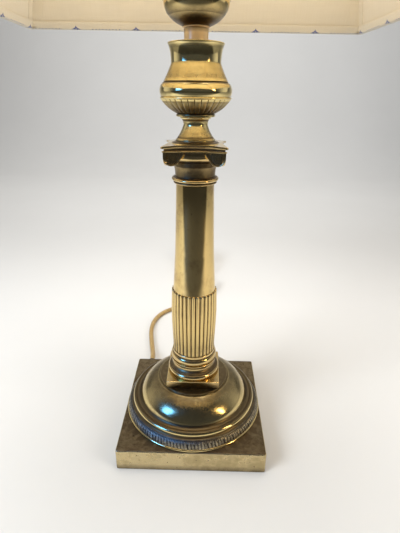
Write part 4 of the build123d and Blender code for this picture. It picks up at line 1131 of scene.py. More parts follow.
@dataclass
class Capital:
    """Ionic capital: turned core, hollowed abacus and eight mitred scroll faces, each dished inside a thin rim.

    Args:
        bottom: Height of the shaft's top.
        top: Height of the abacus's top.
        half: Half the abacus's width.
        thick: Thickness of the abacus.
        eye_x: Distance of a scroll's eye from the middle of its side.
        roll: Radius of a scroll.
        drop: How far the eye lies under the abacus.
        lean: How far each scroll face turns in towards its corner, in degrees.
    """

    bottom: float = 257.6
    top: float = 289.4
    half: float = 25.8
    thick: float = 4.8
    eye_x: float = 17.4
    roll: float = 6.9
    drop: float = 3.6
    lean: float = 16.0

    def build(self) -> None:
        """Builds and dresses the capital."""
        self.core()
        self.abacus()
        for k in range(4):
            self.scroll(k, False)
            self.scroll(k, True)
            self.bolster(k)

    def core(self) -> None:
        """Astragals, necking with a granulated band, and echinus, turned."""
        z = self.bottom
        band_z = z + 16.1
        outline = Outline(
            (5.1, z - 3),
            (
                (12.4, z - 3), (12.4, z), (17.6, z), (18.2, z + 0.9, 17.6, z + 1.8), (17.2, z + 1.9), (17.2, z + 2.2),
                (18.5, z + 2.3), (19.7, z + 3.6, 18.5, z + 5.0), (16.8, z + 5.6), (16.9, z + 10.2, 17.6, z + 14.0),
                (18.2, z + 14.4), (18.2, z + 17.8), (17.6, z + 18.2), (17.6, z + 18.9), (18.4, z + 19.1),
                (20.2, z + 20.8, 20.55, z + 23.2), (20.55, z + 27.3), (5.1, z + 27.3),
            ),
            0.22,
            8.0,
        )

        def granulated(a: np.ndarray, r: np.ndarray, h: np.ndarray) -> tuple:
            """Row of small worn beads on the band between necking and echinus, patina and painted shade between the
            beads, and the necking darker all over.

            Args:
                a: Angle round the axis.
                r: Radius.
                h: Height.

            Returns:
                What is added to the radius, and the mask of patina and painted shade.
            """
            band = np.clip(1 - abs(h - band_z) / 1.7, 0, 1)
            beads = np.clip(np.cos(a * 60) * np.cos((h - band_z) * 3.2), 0, 1) * np.sqrt(band) * 0.2
            necking_dark = 0.62 * np.clip((h - z - 5.0) / 1.5, 0, 1) * np.clip(z + 19 - h, 0, 1)
            return beads, np.maximum((band > 0) * (0.75 - 2.5 * beads), necking_dark)

        finish_piece(turned("capital_core", outline, 420, 1.0, granulated), Stock.CAST, ["capital"])

    def _ring(self, half: float, bow: float, count: int = 40) -> np.ndarray:
        """Square with hollowed sides: each side is an arc, and each corner a 1.7 mm flat.

        Args:
            half: Half the width of the square.
            bow: How far each arc dips.
            count: Points on a side.

        Returns:
            Its points (x, y).
        """
        cut = 1.2
        chord = half - cut
        radius = (chord**2 + bow**2) / (2 * bow)
        t = np.linspace(-chord, chord, count)
        dip = bow - (radius - np.sqrt(radius**2 - t**2))
        return four_sides(t, -half + np.clip(dip, 0, None))

    def abacus(self) -> None:
        """Moulded abacus: the hollowed square carried up fillet, hollow and fillet, each side highest at its middle."""
        # Rows: inset, rise, patina and painted shade, wear; the hollow under the abacus is darkened with painted shade
        section = (
            (14.0, 0.0, 0, 0), (0.95, 0.0, 0.3, 0), (0.8, 0.15, 0, 0.6), (0.8, 0.75, 0, 0.6), (0.95, 0.9, 0.2, 0),
            (1.9, 1.1, 0.8, 0), (2.2, 1.5, 1, 0), (2.1, 2.4, 0.9, 0), (1.5, 3.0, 0.5, 0), (0.2, 3.15, 0, 0.7),
            (0.0, 3.35, 0, 1), (0.0, 4.5, 0, 1), (0.12, 4.7, 0, 1), (0.4, 4.79, 0, 0.7), (1.5, 4.8, 0, 0.2),
            (5.5, 4.8, 0, 0), (14.0, 4.8, 0.4, 0),
        )
        rows = []
        for inset, h, _, _ in section:
            ring = self._ring(self.half - inset, 4.2 * (1 - min(1, inset / 15)) + 0.001)
            along_side = np.minimum(abs(ring[:, :1]), abs(ring[:, 1:])) / self.half
            swell = (0.9 - 1.5 * along_side**2) * np.clip((h - 1.5) / 1.6, 0, 1) * np.clip((4.0 - inset) / 3.0, 0, 1)
            rows.append(np.hstack([ring, self.top - self.thick + h + swell]))
        obj = hoop("abacus", rows, 35.0)
        keep_wear(obj, section, len(ring))
        finish_piece(obj, Stock.CAST)

    def _comma(self, inset: float) -> np.ndarray:
        """Edge of a scroll face: up the corner, round the roll and back to its root.

        Args:
            inset: How far the edge is drawn in.

        Returns:
            Points (x, z), with z from the abacus's underside.
        """
        r = self.roll - inset
        x, z = self.eye_x, -self.drop
        top = 0.3 - 0.12 * inset
        t = np.radians(np.linspace(0, -135, 40))
        arc = np.stack([x + r * np.cos(t), z + r * np.sin(t)], 1)
        root = (7.5 + 2.2 * inset, -1.9 - 0.6 * inset)
        line = arc[-1] + (np.array(root) - arc[-1]) * np.linspace(0, 1, 13)[1:, None]
        up = np.array([[root[0], top]])
        across = np.stack([np.linspace(root[0], x + r, 12)[1:], np.full(11, top)], 1)
        down = np.stack([np.full(5, x + r), np.linspace(top, z, 7)[1:-1]], 1)
        return np.vstack([arc, line, up, across, down])

    def _set(self, points: np.ndarray, k: int, mirrored: bool) -> np.ndarray:
        """Turns points of a front face in from the corner, then to side k.

        Args:
            points: The points (x, depth, z).
            k: Side of the capital, in quarter turns from the front.
            mirrored: Whether they go to the side's left corner.

        Returns:
            The points in the lamp's frame.
        """
        edge = self.eye_x + self.roll
        x, y = spun(points[:, 0] - edge, points[:, 1], radians(-self.lean))
        x, y = x + edge, y - (self.half - 1.5)
        x, y = spun(-x if mirrored else x, y, k * pi / 2)
        return np.stack([x, y, points[:, 2] + self.top - self.thick], 1)

    def scroll(self, k: int, mirrored: bool) -> None:
        """Scroll face: the comma carried from its back to a raised rim and down into a smooth, sunk, dished face.

        Args:
            k: Side of the capital, in quarter turns from the front.
            mirrored: Whether it is the scroll at the side's left corner.
        """
        back, face = 2.7, 0.8
        # Rows: inset, depth, patina and painted shade, wear; the sunk face is darkened with painted shade
        section = (
            (0.0, back, 0.2, 0), (0.0, 0.25, 0, 0.3), (0.08, 0.06, 0, 1), (0.25, 0.0, 0, 1), (0.62, 0.0, 0, 1),
            (0.78, 0.08, 0.3, 0.3), (0.86, 0.7, 0.9, 0), (1.0, face, 0.6, 0), (2.4, face, 0.35, 0),
        )
        rows = []
        for inset, depth, _, _ in section:
            edge = self._comma(inset)
            mitre = np.tan(radians(45 - self.lean)) * depth
            x = np.minimum(edge[:, 0], self.eye_x + self.roll - mitre)
            rows.append(self._set(np.stack([x, np.full(len(edge), depth), edge[:, 1]], 1), k, mirrored))
        middles = np.array([[self.eye_x - 2.0, depth, -1.8] for depth in (back, face)])
        verts = np.concatenate([*rows, self._set(middles, k, mirrored)])
        n = len(rows[0])
        obj = tube(f"scroll_{k}{'b' if mirrored else 'a'}", verts, len(rows), n, 32.0)
        keep_wear(obj, section, n, ((0, 0), (0.25, 0)))
        finish_piece(obj, Stock.CAST)

    def bolster(self, k: int) -> None:
        """Bolster behind a pair of scrolls: a roll on the diagonal, waisted and ringed, r = 5 - 0.9 sin(pi t).

        Args:
            k: Corner of the capital, in quarter turns from the back right.
        """
        t = np.linspace(0, 1, 48)
        turn = radians(45 + 90 * k)
        reach = 13 + t * 9.4
        line = np.stack([reach * cos(turn), reach * sin(turn), np.full_like(t, self.top - self.thick - self.drop)], 1)
        radius = 5.0 - 0.9 * np.sin(pi * t) + 0.25 * np.clip(np.cos(t * 2 * pi * 6), 0, 1)
        finish_piece(along(f"bolster_{k}", line, radius, 40), Stock.CAST)


@dataclass
class Urn:
    """Urn foot, gadrooned bowl, body and cover; neck tube and bun-shaped ball with its collar.

    Args:
        bottom: Height of the abacus's top.
        wall_rise: Height of the urn's wall over it.
        cover_rise: Height of the cover over the wall's foot.
        neck_top: Height of the neck's top.
        gadroons: Number of gadroons.
    """

    bottom: float = 289.4
    wall_rise: float = 32.8
    cover_rise: float = 35.7
    neck_top: float = 371.0
    gadroons: int = 32

    def build(self) -> None:
        """Builds and dresses the urn and the ball."""
        self.urn_foot()
        self.bowl()
        self.body()
        self.neck()
        self.ball()

    def urn_foot(self) -> None:
        """Spreading foot with its stem and ring, turned."""
        z = self.bottom
        outline = Outline(
            (5.1, z),
            (
                (20.5, z), (18.1, z + 1.0, 16.0, z + 1.8), (16.0, z + 3.2), (15.2, z + 3.6),
                (11.5, z + 9.4, 9.8, z + 13.8), (10.0, z + 16.4, 11.0, z + 18.4), (11.8, z + 18.6),
                (12.2, z + 19.4, 11.8, z + 20.18), (5.1, z + 20.18),
            ),
            0.25,
            6.0,
        )
        finish_piece(turned("urn_stem", outline, 160, 1.2), Stock.URN, ["urn_foot"])

    def bowl(self) -> None:
        """Bowl: radius rises over the height, and each gadroon is a half-round lobe between two grooves darkened with
        patina and painted shade.
        """
        z = self.bottom + 20.2
        outline = Outline(
            (5.1, z),
            (
                (15.4, z), (15.4, z + 1.75), (14.2, z + 1.8), (14.9, z + 2.2), (22.5, z + 7.0, 27.35, z + 12.55),
                (22.0, z + 12.55), (17.0, z + 7.5, 10.0, z + 4.5), (5.1, z + 4.5),
            ),
            0.25,
            4.0,
        )

        def gadrooned(a: np.ndarray, r: np.ndarray, h: np.ndarray) -> tuple:
            """Lobes that fade in above the disc, with narrow grooves between.

            Args:
                a: Angle round the axis.
                r: Radius.
                h: Height.

            Returns:
                What is added to the radius, and the mask of patina and painted shade.
            """
            share = np.clip((h - z - 1.9) / 0.9, 0, 1) * np.clip((r - 13) / 2, 0, 1)
            outer = (r > 12.0 + (h - z) * 0.9) & (h > z + 1.85)
            across = ((a * self.gadroons / (2 * pi)) % 1.0 - 0.5) * 2
            lobe = np.sqrt(np.clip(1 - across**2, 0, 1))
            depth = 1.7 * r / 27.4 * share * outer
            mask = np.clip(1.2 - lobe * 2.1, 0, 1) * share * outer
            return -depth * (1 - lobe), mask

        finish_piece(turned("gadroons", outline, self.gadroons * 16, 0.8, gadrooned), Stock.URN, ["gadrooned_bowl"])

    def body(self) -> None:
        """Bead, belly, shoulder, waist and flared rim in one turned wall, with the cover set in it."""
        z = self.bottom + self.wall_rise
        top = z + self.cover_rise
        outline = Outline(
            (24.0, z),
            (
                (27.3, z), (28.0, z + 0.75, 27.3, z + 1.5), (27.1, z + 1.7), (28.1, z + 5.4, 26.9, z + 10.0),
                (25.3, z + 11.5), (24.5, z + 11.8), (24.4, z + 12.15), (24.9, z + 12.4), (24.55, z + 12.9),
                (21.4, z + 18.8, 19.0, z + 24.5), (19.35, z + 30.8, 20.4, z + 35.9), (21.25, z + 37.5),
                (21.3, z + 38.0), (21.0, z + 38.28), (20.2, z + 38.2), (19.1, top), (17.2, top), (17.2, z + 33.9),
                (15.2, z + 33.9), (15.2, z + 24.5), (22.1, z + 11.5), (24.7, z + 8.0), (24.0, z + 2.0),
            ),
            0.2,
            4.0,
        )
        finish_piece(turned("urn_wall", outline, 256, 1.4), Stock.URN, ["urn_body"])
        cover = Outline((5.2, top - 1.8), ((17.08, top - 1.8), (17.08, top), (9.0, top), (5.2, top)), 0.15)
        finish_piece(turned("urn_lid", cover, 128, 2.0), Stock.URN, ["urn_cover"])

    def neck(self) -> None:
        """Neck tube with its ring, in paler brass that carries painted light."""
        low, high = self.bottom + self.wall_rise + self.cover_rise, self.neck_top
        ring = ((9.0, high - 1.5), (9.6, high - 1.3), (9.9, high - 0.7, 9.6, high - 0.02))
        outline = Outline((6.3, low), ((9.0, low), *ring, (6.3, high - 0.02)), 0.2)
        finish_piece(turned("neck", outline, 96, 1.5), Stock.NECK, ["neck_tube"])

    def ball(self) -> None:
        """Bun-shaped ball: two spun halves, each a quarter of an ellipse turned, with a belt on the joint."""
        wide, tall, seat_r, bore = 23.9, 16.9, 9.9, 5.15
        inner_wide, inner_tall = 22.5, 15.5
        mid = self.neck_top + tall * sqrt(1 - (seat_r / wide) ** 2)
        t = np.linspace(-np.arccos(seat_r / wide), 0, 40)
        foot = mid + tall * sin(t[0])
        skin = [(wide * cos(k), mid + tall * sin(k)) for k in t[1:]]
        inner = [(inner_wide * cos(k), mid + inner_tall * sin(k)) for k in t[::-1] if inner_wide * cos(k) > 9.0]
        lower = Outline((seat_r, foot), (*skin, *inner, (bore, inner[-1][1]), (bore, foot)), 0.1)
        finish_piece(turned("bun_lower", lower, 224, 1.4), Stock.NEW_BRASS, ["ball_lower"])
        skin, inner = ([(r, 2 * mid - z) for r, z in points] for points in (skin, inner))
        seat = 2 * mid - foot
        belt = ((24.3, mid), (24.6, mid + 0.3), (24.6, mid + 2.3), (24.3, mid + 2.6), (23.65, mid + 2.65))
        outside = (*belt, *((r, z) for r, z in reversed(skin) if z > mid + 2.8), (seat_r, seat))
        upper = Outline((inner_wide, mid), (*outside, (bore, seat), (bore, inner[-1][1]), *reversed(inner[1:])), 0.1)
        finish_piece(turned("bun_upper", upper, 224, 1.4), Stock.NEW_BRASS, ["ball_upper"])


# ------------------------------------------------------------ fittings and shade
class Fittings:
    """Finishes for the rigid CAD nodes that keep their own meshes, and the bulb's cap and glass and the finial.

    Args:
        finishes: The nodes dressed in each finish.
    """

    finishes: dict = {
        Stock.ZINC: ("tie_rod", "rod_nut", "rod_washer", "lock_nut", "plug_blades", "bulb_contact"),
        Stock.STEEL: ("foot_screws", "bottom_wire", "top_wire", "corner_struts"),
        Stock.NEW_BRASS: (
            "ball_collar", "harp_saddle", "lampholder_cap", "lampholder_shell", "centre_contact", "switch_spindle",
            "harp", "harp_sleeves", "harp_stud", "shade_spider",
        ),
        Stock.FIBRE: ("insulating_liner",),
        Stock.BAKELITE: ("holder_body", "switch_knob", "cord_grommet"),
        Stock.ALUMINIUM: ("screw_shell",),
        Stock.BLACK_GLASS: ("bulb_insulator",),
        Stock.PLUG: ("plug_body",),
    }

    def build(self) -> None:
        """Dresses the nodes, and builds the bulb's cap and glass and the finial."""
        for stock, nodes in self.finishes.items():
            for name in nodes:
                dress_node(name, stock)
        self.threads()
        self.glass()
        self.finial()

    def threads(self) -> None:
        """Screw cap of the bulb: a lathe shape whose radius rolls in and out along a helix."""
        pitch = 3.63
        z0, z1 = heights("bulb_cap")
        h = np.linspace(0, 1, 70)[:, None]
        a = angles(96)[None, :]
        z = z0 + (z1 - z0) * h
        roll = np.cos((z - z0) / pitch * 2 * pi - a)
        fade = np.clip(h / 0.12, 0, 1) * np.clip((1 - h) / 0.12, 0, 1)
        outside = 12.55 + 0.42 * roll * fade - 0.5 * np.clip(1 - h / 0.06, 0, 1) ** 2
        rings = [polar(outside, a, z)]
        for radius, height in ((12.0, z1), (11.9, z0 + 1.2), (8.3, z0 + 1.0), (8.3, z0)):
            rings.append(polar(radius, a, height))
        finish_piece(
            hoop("threaded_cap", np.concatenate(rings), 50.0), Stock.ALUMINIUM, ["bulb_cap"], "bulb"
        )

    def glass(self) -> None:
        """Bulb: a neck that swells by a smooth curve into a ball, turned, and closed inside the cap."""
        ball, ball_low, neck_r, join_r = 30.0, 22.0, 12.8, 21.0
        z0, z1 = heights("bulb_glass")
        mid = z1 - ball
        t = np.linspace(0, 1, 26)
        neck = neck_r + (join_r - neck_r) * t**2 * (3 - 2 * t) ** 0.9
        neck_z = z0 + 9 + (mid - ball_low - z0 - 9) * t
        low = np.arcsin(-ball_low / ball)
        arc = np.linspace(low, pi / 2, 44)[:-1]
        ease = (join_r - ball * cos(low)) * np.clip(1 - (arc - low) / 0.3, 0, 1)
        swell = zip(ball * np.cos(arc) + ease, mid + ball * np.sin(arc))
        inside_cap = ((neck_r, z0), (neck_r, z0 + 8))
        outline = Outline((0.0, z0), (*inside_cap, *list(zip(neck, neck_z))[1:-1], *swell, (0.0, z1)), 0.1)
        finish_piece(turned("bulb_ball", outline, 128, 2.0), Stock.OPAL, ["bulb_glass"], "bulb")

    def finial(self) -> None:
        """Turned finial: foot, waist, ring, drop and knob."""
        z, _ = heights("finial")
        tip, top, join = 3.3, z + 33, radians(52)
        outline = Outline(
            (3.2, z),
            (
                (8.0, z), (8.0, z + 2.0), (6.6, z + 3.0), (4.4, z + 5.4, 4.0, z + 8.4),
                (5.8, z + 9.2, 4.0, z + 10.0), (4.6, z + 11.4), (7.4, z + 18.4, 3.6, z + 25.6),
                (tip * sin(join), top - tip * (1 + cos(join))), (tip, top - tip, 0.0, top),
                (0.0, z + 13.0), (3.2, z + 13.0),
            ),
            0.15,
        )
        finish_piece(turned("top_finial", outline, 96, 1.0), Stock.NEW_BRASS, ["finial"])


@dataclass
class Shade:
    """Square tapered cloth shade: four sides, lining, tapes and hems over a wire frame.

    Args:
        side: Outside of the bottom edge.
        bottom: Height of the bottom edge.
        height: Height of the shade.
        slope: How far a side leans in for each millimetre of height.
        turn: How far the shade stands turned, in degrees.
    """

    side: float = 382.2
    bottom: float = 391.6
    height: float = 255.0
    slope: float = 0.27
    turn: float = 1.69

    def build(self) -> None:
        """Builds and dresses the shade."""
        wires = ["bottom_wire", "top_wire"]
        for k, name in enumerate(("front", "right", "back", "left")):
            cloth = self.panel(f"cloth_{name}", k)
            finish_piece(cloth, Stock.CLOTH, [f"shade_{name}"], "shade")
        lining = self.lining()
        finish_piece(lining, Stock.LINING, ["shade_lining"], "shade")
        tapes = self.tapes()
        finish_piece(tapes, Stock.LINING, ["corner_tapes"], "shade")
        for edge, wire in zip(("bottom", "top"), wires):
            hem = self.hem(edge)
            finish_piece(hem, Stock.HEM, [f"{edge}_hem"], "shade")
            length = 8 * self.half(self.edges()[edge], 0) * MM

    def edges(self) -> dict[str, float]:
        """Heights of the shade's bottom and top edges."""
        return {"bottom": self.bottom, "top": self.bottom + self.height}

    def half(self, z: np.ndarray, inset: np.ndarray) -> np.ndarray:
        """Half the side at a height, drawn in by inset."""
        return self.side / 2 - self.slope * (z - self.bottom) - inset

    def _stand(self, x: np.ndarray, y: np.ndarray, z: np.ndarray) -> np.ndarray:
        """Points turned as the shade stands."""
        return np.stack([*spun(x, y, radians(self.turn)), z], -1)

    def panel(self, name: str, k: int) -> bpy.types.Object:
        """Cloth side k: a flat trapezium that dips by up to 0.24 mm between the wires, carried round both faces.

        Args:
            name: Name of the piece.
            k: Side, in quarter turns from the front.

        Returns:
            The side, with a UV map in metres of cloth.
        """
        rows, cols, inset, thick, margin, most = 60, 90, 0.12, 0.55, 0.6, 0.24
        s = np.linspace(0, 1, rows)[:, None]
        t = np.linspace(-1, 1, cols)[None, :]
        z = self.bottom + margin + (self.height - margin - margin) * s + 0 * t
        phase = np.random.default_rng(20 + k).uniform(0, 6, 4)
        gathers = 0.04 * np.sin(46 * t + phase[0] + 3 * np.sin(phase[1] + 5 * s))
        pucker = gathers * (np.exp(-s * 22) + np.exp(-(1 - s) * 22))
        dip = np.clip(0.22 * np.sin(pi * s) * (1 - t**2) + pucker, 0, most)
        faces = []
        for depth in (inset, inset + thick):
            x = t * (self.half(z, depth) - 0.02)
            faces.append(self._stand(*spun(x, -self.half(z, depth + dip), k * pi / 2), z))
        n = rows * cols
        grid = grid_faces(rows, cols, False, False)
        quads = [grid, grid[:, ::-1] + n]
        index = np.arange(n).reshape(rows, cols)
        for edge in (index[0], index[-1][::-1], index[:, 0][::-1], index[:, -1]):
            quads.append(np.stack([edge[:-1], edge[1:], edge[1:] + n, edge[:-1] + n], 1))
        obj = build_mesh(name, np.concatenate(faces).reshape(-1, 3), np.concatenate(quads), sharp=40.0)
        u = (t * self.half(z, 0)) * MM + 0.3 * k
        v = (z - self.bottom) * sqrt(1 + self.slope**2) * MM
        keep_uv(obj, np.tile(u.ravel(), 2), np.tile(v.ravel(), 2))
        return obj

    def _ring(self, z: float, inset: float, count: int, corner: float) -> tuple[np.ndarray, np.ndarray, np.ndarray]:
        """Square of the shade with rounded corners.

        Args:
            z: Its height.
            inset: How far it is drawn in.
            count: Points on a side.
            corner: Radius of its corners.

        Returns:
            x, y and the distance along it.
        """
        h = self.half(z, inset)
        t = np.linspace(-1, 1, count, endpoint=False)
        turn_in = np.linspace(0, pi / 2, 5, endpoint=False)
        side_x = np.concatenate([t * (h - corner), h - corner + corner * np.sin(turn_in)])
        side_y = np.concatenate([np.full(count, -h), -h + corner - corner * np.cos(turn_in)])
        run = np.concatenate([t * (h - corner), h - corner + corner * turn_in])
        sides = [(*spun(side_x, side_y, k * pi / 2), run + k * self.side) for k in range(4)]
        return tuple(np.concatenate(parts) for parts in zip(*sides))

    def _skin(self, name: str, section: Sequence[tuple], count: int, corner: float, sharp: float) -> bpy.types.Object:
        """Carries the shade's square along a closed section.

        Args:
            name: Name of the piece.
            section: Rows of inset, height, place on the cloth in metres, and how far the row waves.
            count: Points on a side of the square.
            corner: Radius of its corners.
            sharp: Angle in degrees from which an edge is drawn sharp.

        Returns:
            The piece, with a UV map in metres of cloth.
        """
        rows, us, vs = [], [], []
        for inset, z, v, sway in section:
            x, y, u = self._ring(z, inset, count, corner)
            wave = 0.05 * np.sin(u * 0.31) + 0.03 * np.sin(u * 0.83 + 1)
            rows.append(self._stand(x, y, z + wave * sway))
            us.append(u * MM)
            vs.append(np.full_like(u, v))
        obj = hoop(name, rows, sharp)
        keep_uv(obj, np.concatenate(us), np.concatenate(vs))
        return obj

    def lining(self) -> bpy.types.Object:
        """Lining round all four sides: the square carried up its outer face and down its inner face.

        Returns:
            The lining, with a UV map in metres of cloth.
        """
        inset, thick, margin = 4.06, 0.42, 0.62
        levels = np.linspace(self.bottom + margin, self.bottom + self.height - margin, 40)
        faces = ((inset, levels), (inset + thick, levels[::-1]))
        section = [(depth, z, (z - self.bottom) * MM, 0.0) for depth, zs in faces for z in zs]
        return self._skin("lining", section, 60, 0.35, 45.0)

    def tapes(self) -> bpy.types.Object:
        """Folded tape in each inner corner: an L carried up the corner.

        Returns:
            The four tapes as one piece, with a UV map in metres of cloth.
        """
        leg, thick, inset, margin = 11.0, 0.4, 4.58, 0.65
        levels = np.linspace(self.bottom + margin, self.bottom + self.height - margin, 50)
        outline = np.array([(leg, 0.0), (0.0, 0.0), (0.0, leg), (thick, leg), (thick, thick), (leg, thick)])
        section = cut_up(outline, 5)
        n = len(section)
        end = np.array([[i, i + 1, (n - i - 2) % n, (n - i - 1) % n] for i in range(n // 2 - 1)])
        verts, quads, us, vs = [], [], [], []
        for k in range(4):
            first = k * len(levels) * n
            for z in levels:
                h = self.half(z, inset)
                verts.append(self._stand(*spun(h - section[:, 0], -h + section[:, 1], k * pi / 2), np.full(n, z)))
                us.append((section[:, 0] + section[:, 1]) * MM + 0.02 * k)
                vs.append(np.full(n, (z - self.bottom) * MM))
            last = first + (len(levels) - 1) * n
            quads += [grid_faces(len(levels), n, False, True) + first, end + first, end + last]
        obj = build_mesh("inner_tapes", np.concatenate(verts), np.concatenate(quads), sharp=45.0)
        keep_uv(obj, np.concatenate(us), np.concatenate(vs))
        return obj

    def hem(self, edge: str) -> bpy.types.Object:
        """Cloth folded over an edge and up the inside: a U section carried round, its inner edge slightly wavy.

        Args:
            edge: Whether it is the bottom or the top edge.

        Returns:
            The hem, with a UV map in metres of cloth.
        """
        outside = (
            (0.05, 0.58), (0.02, 0.2), (0.25, 0.03), (2.0, 0.0), (4.0, 0.03), (5.3, 0.0), (5.62, 0.2), (5.66, 1.2),
            (5.66, 3.0), (5.68, 5.0), (5.62, 7.0), (5.4, 7.35),
        )
        inside = ((5.12, 7.2), (5.1, 3.0), (5.12, 0.62), (2.5, 0.58))
        up = 1.0 if edge == "bottom" else -1.0
        section = []
        for points, way in ((outside, 1), (inside, -1)):
            for inset, rise in points:
                v = (inset + rise * 1.6) * MM * way + 0.011
                section.append((inset, self.edges()[edge] + up * rise, v, up if rise > 2.5 else 0.0))
        return self._skin(f"hem_{edge}", section, 160, 0.4, 50.0)


# ---------------------------------------------------------------------------- cord
@dataclass
class Cord:
    """The lamp's cord: from the grommet round behind the column into a put-away coil, and on to its plug.

    Args:
        diameter: Diameter of the cord.
        length: Its length. Not used.
        turns: Turns of the coil.
        pitch: Distance from strand to strand.
        inner: Radius of the coil's innermost turn.
        centre: Middle of the coil's lowest layer.
        lead: Points from the grommet to the column's back.
        tail: Steps and points from the coil's top turn to the plug.
    """

    diameter: float = 6.2
    length: float = 1700.0
    turns: float = 6.5
    pitch: float = 6.65
    inner: float = 25.0
    centre: tuple = (-13.1, 437.0, 4.0)
    lead: tuple = (
        (-56.5, 84.0, 9.0), (-56.7, 96.0, 7.6), (-59.5, 113.0, 3.4), (-64.5, 138.0, 3.2), (-69.2, 167.0, 3.3),
        (-67.5, 195.0, 3.2), (-57.0, 218.0, 3.3), (-37.0, 234.0, 3.2), (-25.0, 262.0, 3.3), (-24.5, 300.0, 3.2),
        (-34.0, 346.0, 3.4),
    )
    tail: tuple = ((0.0, 412.0, 0.0), (-2.6, 385.0, -7.35), (14.0, 366.0, 8.8), (14.0, 348.0, 8.8))

    def build(self) -> None:
        points = np.vstack([self._lead(), self._coil(), self._tail()])
        curve = bpy.data.curves.new("cord", "CURVE")
        curve.dimensions = "3D"
        curve.bevel_depth = self.diameter / 2 * MM
        curve.bevel_resolution = 5
        curve.resolution_u = 8
        curve.use_fill_caps = True
        spline = curve.splines.new("NURBS")
        spline.points.add(len(points) - 1)
        spline.points.foreach_set("co", np.hstack([points * MM, np.ones((len(points), 1))]).ravel())
        spline.order_u = 3
        spline.use_endpoint_u = True
        obj = bpy.data.objects.new("cord", curve)
        bpy.context.scene.collection.objects.link(obj)
        tie = dress_node("coil_tie", Stock.PLUG)
        finish_piece(obj, Stock.FLEX, ["cord_lead", "cord_coil", "cord_tail"])
        dress_node("inner_flex", Stock.FLEX)

    def _lead(self) -> np.ndarray:
        """Runs from the grommet to the coil.

        Returns:
            The lead's points.
        """
        x, y, z = self.centre
        start = x - self.inner - 1.5 * self.pitch
        return np.array([*self.lead, (start, 398.0, z), (start, y - 12.0, z)])

    def _coil(self) -> np.ndarray:
        """Lays the coil: radius goes in and out as a triangle wave, and height rises a layer in each reversal.

        Returns:
            Its points.
        """
        leg = 1.75
        n = np.linspace(0, self.turns, int(self.turns * 16) + 1)
        phase = (n - 1.5) % (2 * leg)
        wave = np.where(phase <= leg, phase, 2 * leg - phase)
        whole = np.floor(n / leg + 1e-9)
        share = np.clip((n - whole * leg - 1.25) / 0.5, 0, 1)
        rise = whole + share**2 * (3 - 2 * share)
        r = (self.inner + self.pitch * wave) / cos(pi / 16) ** 0.5
        return polar(r, pi - 2 * pi * n, self.pitch * rise) + self.centre

    def _tail(self) -> np.ndarray:
        """Goes on from the coil's top turn to the plug.

        Returns:
            The tail's points.
        """
        x, _, z = self.centre
        end, top = x + self.inner + 1.5 * self.pitch, z + 3 * self.pitch
        (_, y1, _), (dx, y2, dz), *rest = self.tail
        return np.array([(end, y1 + 13.0, top), (end, y1, top), (end + dx, y2, top + dz), *rest])


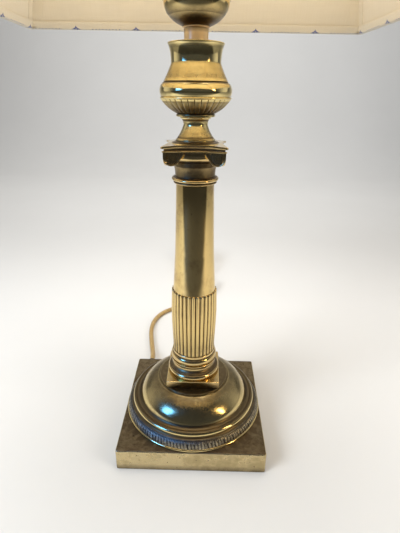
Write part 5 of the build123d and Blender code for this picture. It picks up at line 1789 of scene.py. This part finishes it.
# -------------------------------------------------------------------------- studio
class Studio:
    """Camera, floor and light."""

    def build(self) -> None:
        """Builds the stage."""
        self.camera()
        self.floor()
        self.world()
        self.lamps()
        bpy.context.scene.view_settings.view_transform = "Standard"

    def camera(self) -> None:
        """Camera 0.47 m from the column's foot, looking 23.6 degrees down, as fitted to base, rings and shade."""
        heading, pitch, roll = -0.0149, 0.411111, 0.014284
        eye, focal, picture, sensor = (0.0101, -0.3329, 0.325286), 393.619, 533.0, 36.0
        ahead = Vector((sin(heading) * cos(pitch), cos(heading) * cos(pitch), -sin(pitch)))
        level = Vector((cos(heading), -sin(heading), 0.0))
        over = level.cross(ahead)
        right = level * cos(roll) + over * sin(roll)
        up = over * cos(roll) - level * sin(roll)
        data = bpy.data.cameras.new("camera")
        data.sensor_fit = "VERTICAL"
        data.sensor_height = sensor
        data.lens = focal * sensor / picture
        data.clip_start = 0.02
        data.clip_end = 30.0
        cam = bpy.data.objects.new("camera", data)
        turn = Matrix((right, up, -ahead)).transposed().to_4x4()
        cam.matrix_world = Matrix.Translation(Vector(eye)) @ turn
        bpy.context.scene.collection.objects.link(cam)
        bpy.context.scene.camera = cam

    def floor(self) -> None:
        """Table top, pale, with painted shade well in front of the lamp for the brass to reflect as a dark room: one
        sheet that rises behind as a smooth sweep.
        """
        t = np.linspace(0, 1, 60)
        reach = np.concatenate([[-3.0], [1.3], 1.3 + 0.9 * np.sin(t * pi / 2), [2.2]])
        rise = np.concatenate([[0.0], [0.0], 0.9 - 0.9 * np.cos(t * pi / 2), [1.25]])
        xs = np.array([-4.0, 4.0])
        verts = np.stack(np.broadcast_arrays(xs[None, :], reach[:, None], rise[:, None]), -1).reshape(-1, 3) / MM
        obj = build_mesh("table", verts, grid_faces(len(reach), 2, False, False))
        made = bpy.data.materials.new("pale_table")
        made.use_nodes = True
        g = Graph(made.node_tree)
        cloud = g.noise(g.place(), 3.0, 4.0, 0.55)
        _, y, _ = g.parts(g.place())
        near = g.mix(cloud, (0.64, 0.635, 0.62), (0.70, 0.695, 0.68))
        # Painted shade: dark grey well in front of the lamp
        colour = g.mix(y.step(-0.44, -0.22), (0.085, 0.088, 0.095), near)
        g.surface(Base_Color=colour, Roughness=0.6, Specular_IOR_Level=0.05)
        obj.data.materials.append(made)

    def world(self) -> None:
        """Room light: pale ahead of the camera, and dark behind it so that the brass has something dark to reflect."""
        world = bpy.data.worlds.new("room")
        bpy.context.scene.world = world
        world.use_nodes = True
        g = Graph(world.node_tree)
        way = g.node("ShaderNodeTexCoord", out="Generated")
        _, y, _ = g.parts(way)
        colour = g.mix(y.step(-0.35, 0.25), (0.07, 0.076, 0.09), (0.62, 0.61, 0.59))
        g.finish("ShaderNodeOutputWorld", g.node("ShaderNodeBackground", inputs={"Color": colour, "Strength": 1.0}))

    def lamps(self) -> None:
        """Soft boxes: a window and a fill seen only in reflections, two keys kept out of them, and four glows."""
        for name, place, aim, size, power, spread, colour in (
            ("window", (-0.86, -0.66, 0.50), (-0.46, -0.50, 0.0), (0.34, 0.50), 4.5, 100, (0.07, 0.30, 1.0)),
            ("fill", (0.88, -0.50, 0.40), (0.50, -0.42, 0.0), (0.12, 0.46), 1.5, 95, (1.0, 0.74, 0.40)),
            ("top", (0.0, 0.45, 1.50), (0, 0.20, 0.1), (0.9, 0.9), 6.0, 110, (1.0, 0.97, 0.93)),
            ("sweep", (0.0, 0.7, 1.35), (0, 2.2, 0.6), (2.2, 0.4), 16.0, 140, (1.0, 0.99, 0.97)),
            ("key", (-0.86, -0.66, 0.80), (0.0, 0.0, 0.1), (0.6, 0.6), 7.0, 120, (0.90, 0.95, 1.0)),
            ("key_warm", (0.88, -0.50, 0.70), (0.0, 0.0, 0.1), (0.6, 0.6), 2.8, 120, (1.0, 0.93, 0.84)),
        ):
            lamp = self.soft(name, place, aim, size, power, spread, colour)
            lamp.visible_diffuse = name not in ("window", "fill")
            lamp.visible_glossy = name not in ("key", "key_warm")
        bulb = Vector((0, 0, 0.50))
        for k in range(4):
            turn = k * pi / 2 + 0.8
            way = Vector((cos(turn), sin(turn), 0.0))
            place = way * 0.06 + bulb
            glow = self.soft(f"glow_{k}", place, place + way, (0.05, 0.10), 0.20, 170, (1.0, 0.91, 0.76))
            glow.visible_glossy = False
            glow.visible_camera = False

    @staticmethod
    def soft(
        name: str, place: Sequence, aim: Sequence, size: tuple, power: float, spread: float, colour: tuple
    ) -> bpy.types.Object:
        """Adds one soft box.

        Args:
            name: Its name.
            place: Where it stands, in metres.
            aim: The point it faces.
            size: Its width and height.
            power: Its power in watts.
            spread: Angle of its beam in degrees.
            colour: Its colour.

        Returns:
            The lamp.
        """
        data = bpy.data.lights.new(name, "AREA")
        data.shape = "RECTANGLE"
        data.size, data.size_y = size
        data.energy = power
        data.spread = radians(spread)
        data.color = colour
        lamp = bpy.data.objects.new(name, data)
        lamp.location = place
        lamp.rotation_euler = (Vector(aim) - Vector(place)).to_track_quat("-Z", "Y").to_euler()
        bpy.context.scene.collection.objects.link(lamp)
        return lamp


def main() -> None:
    """Builds the studio and each sub-assembly in order."""
    logging.basicConfig(level=logging.INFO, format="%(name)s: %(message)s")
    for part in (Studio(), Cord(), Base(), Column(), Capital(), Urn(), Fittings(), Shade()):
        part.build()
        log.info("built %s", type(part).__name__)


if __name__ == "__main__":
    main()
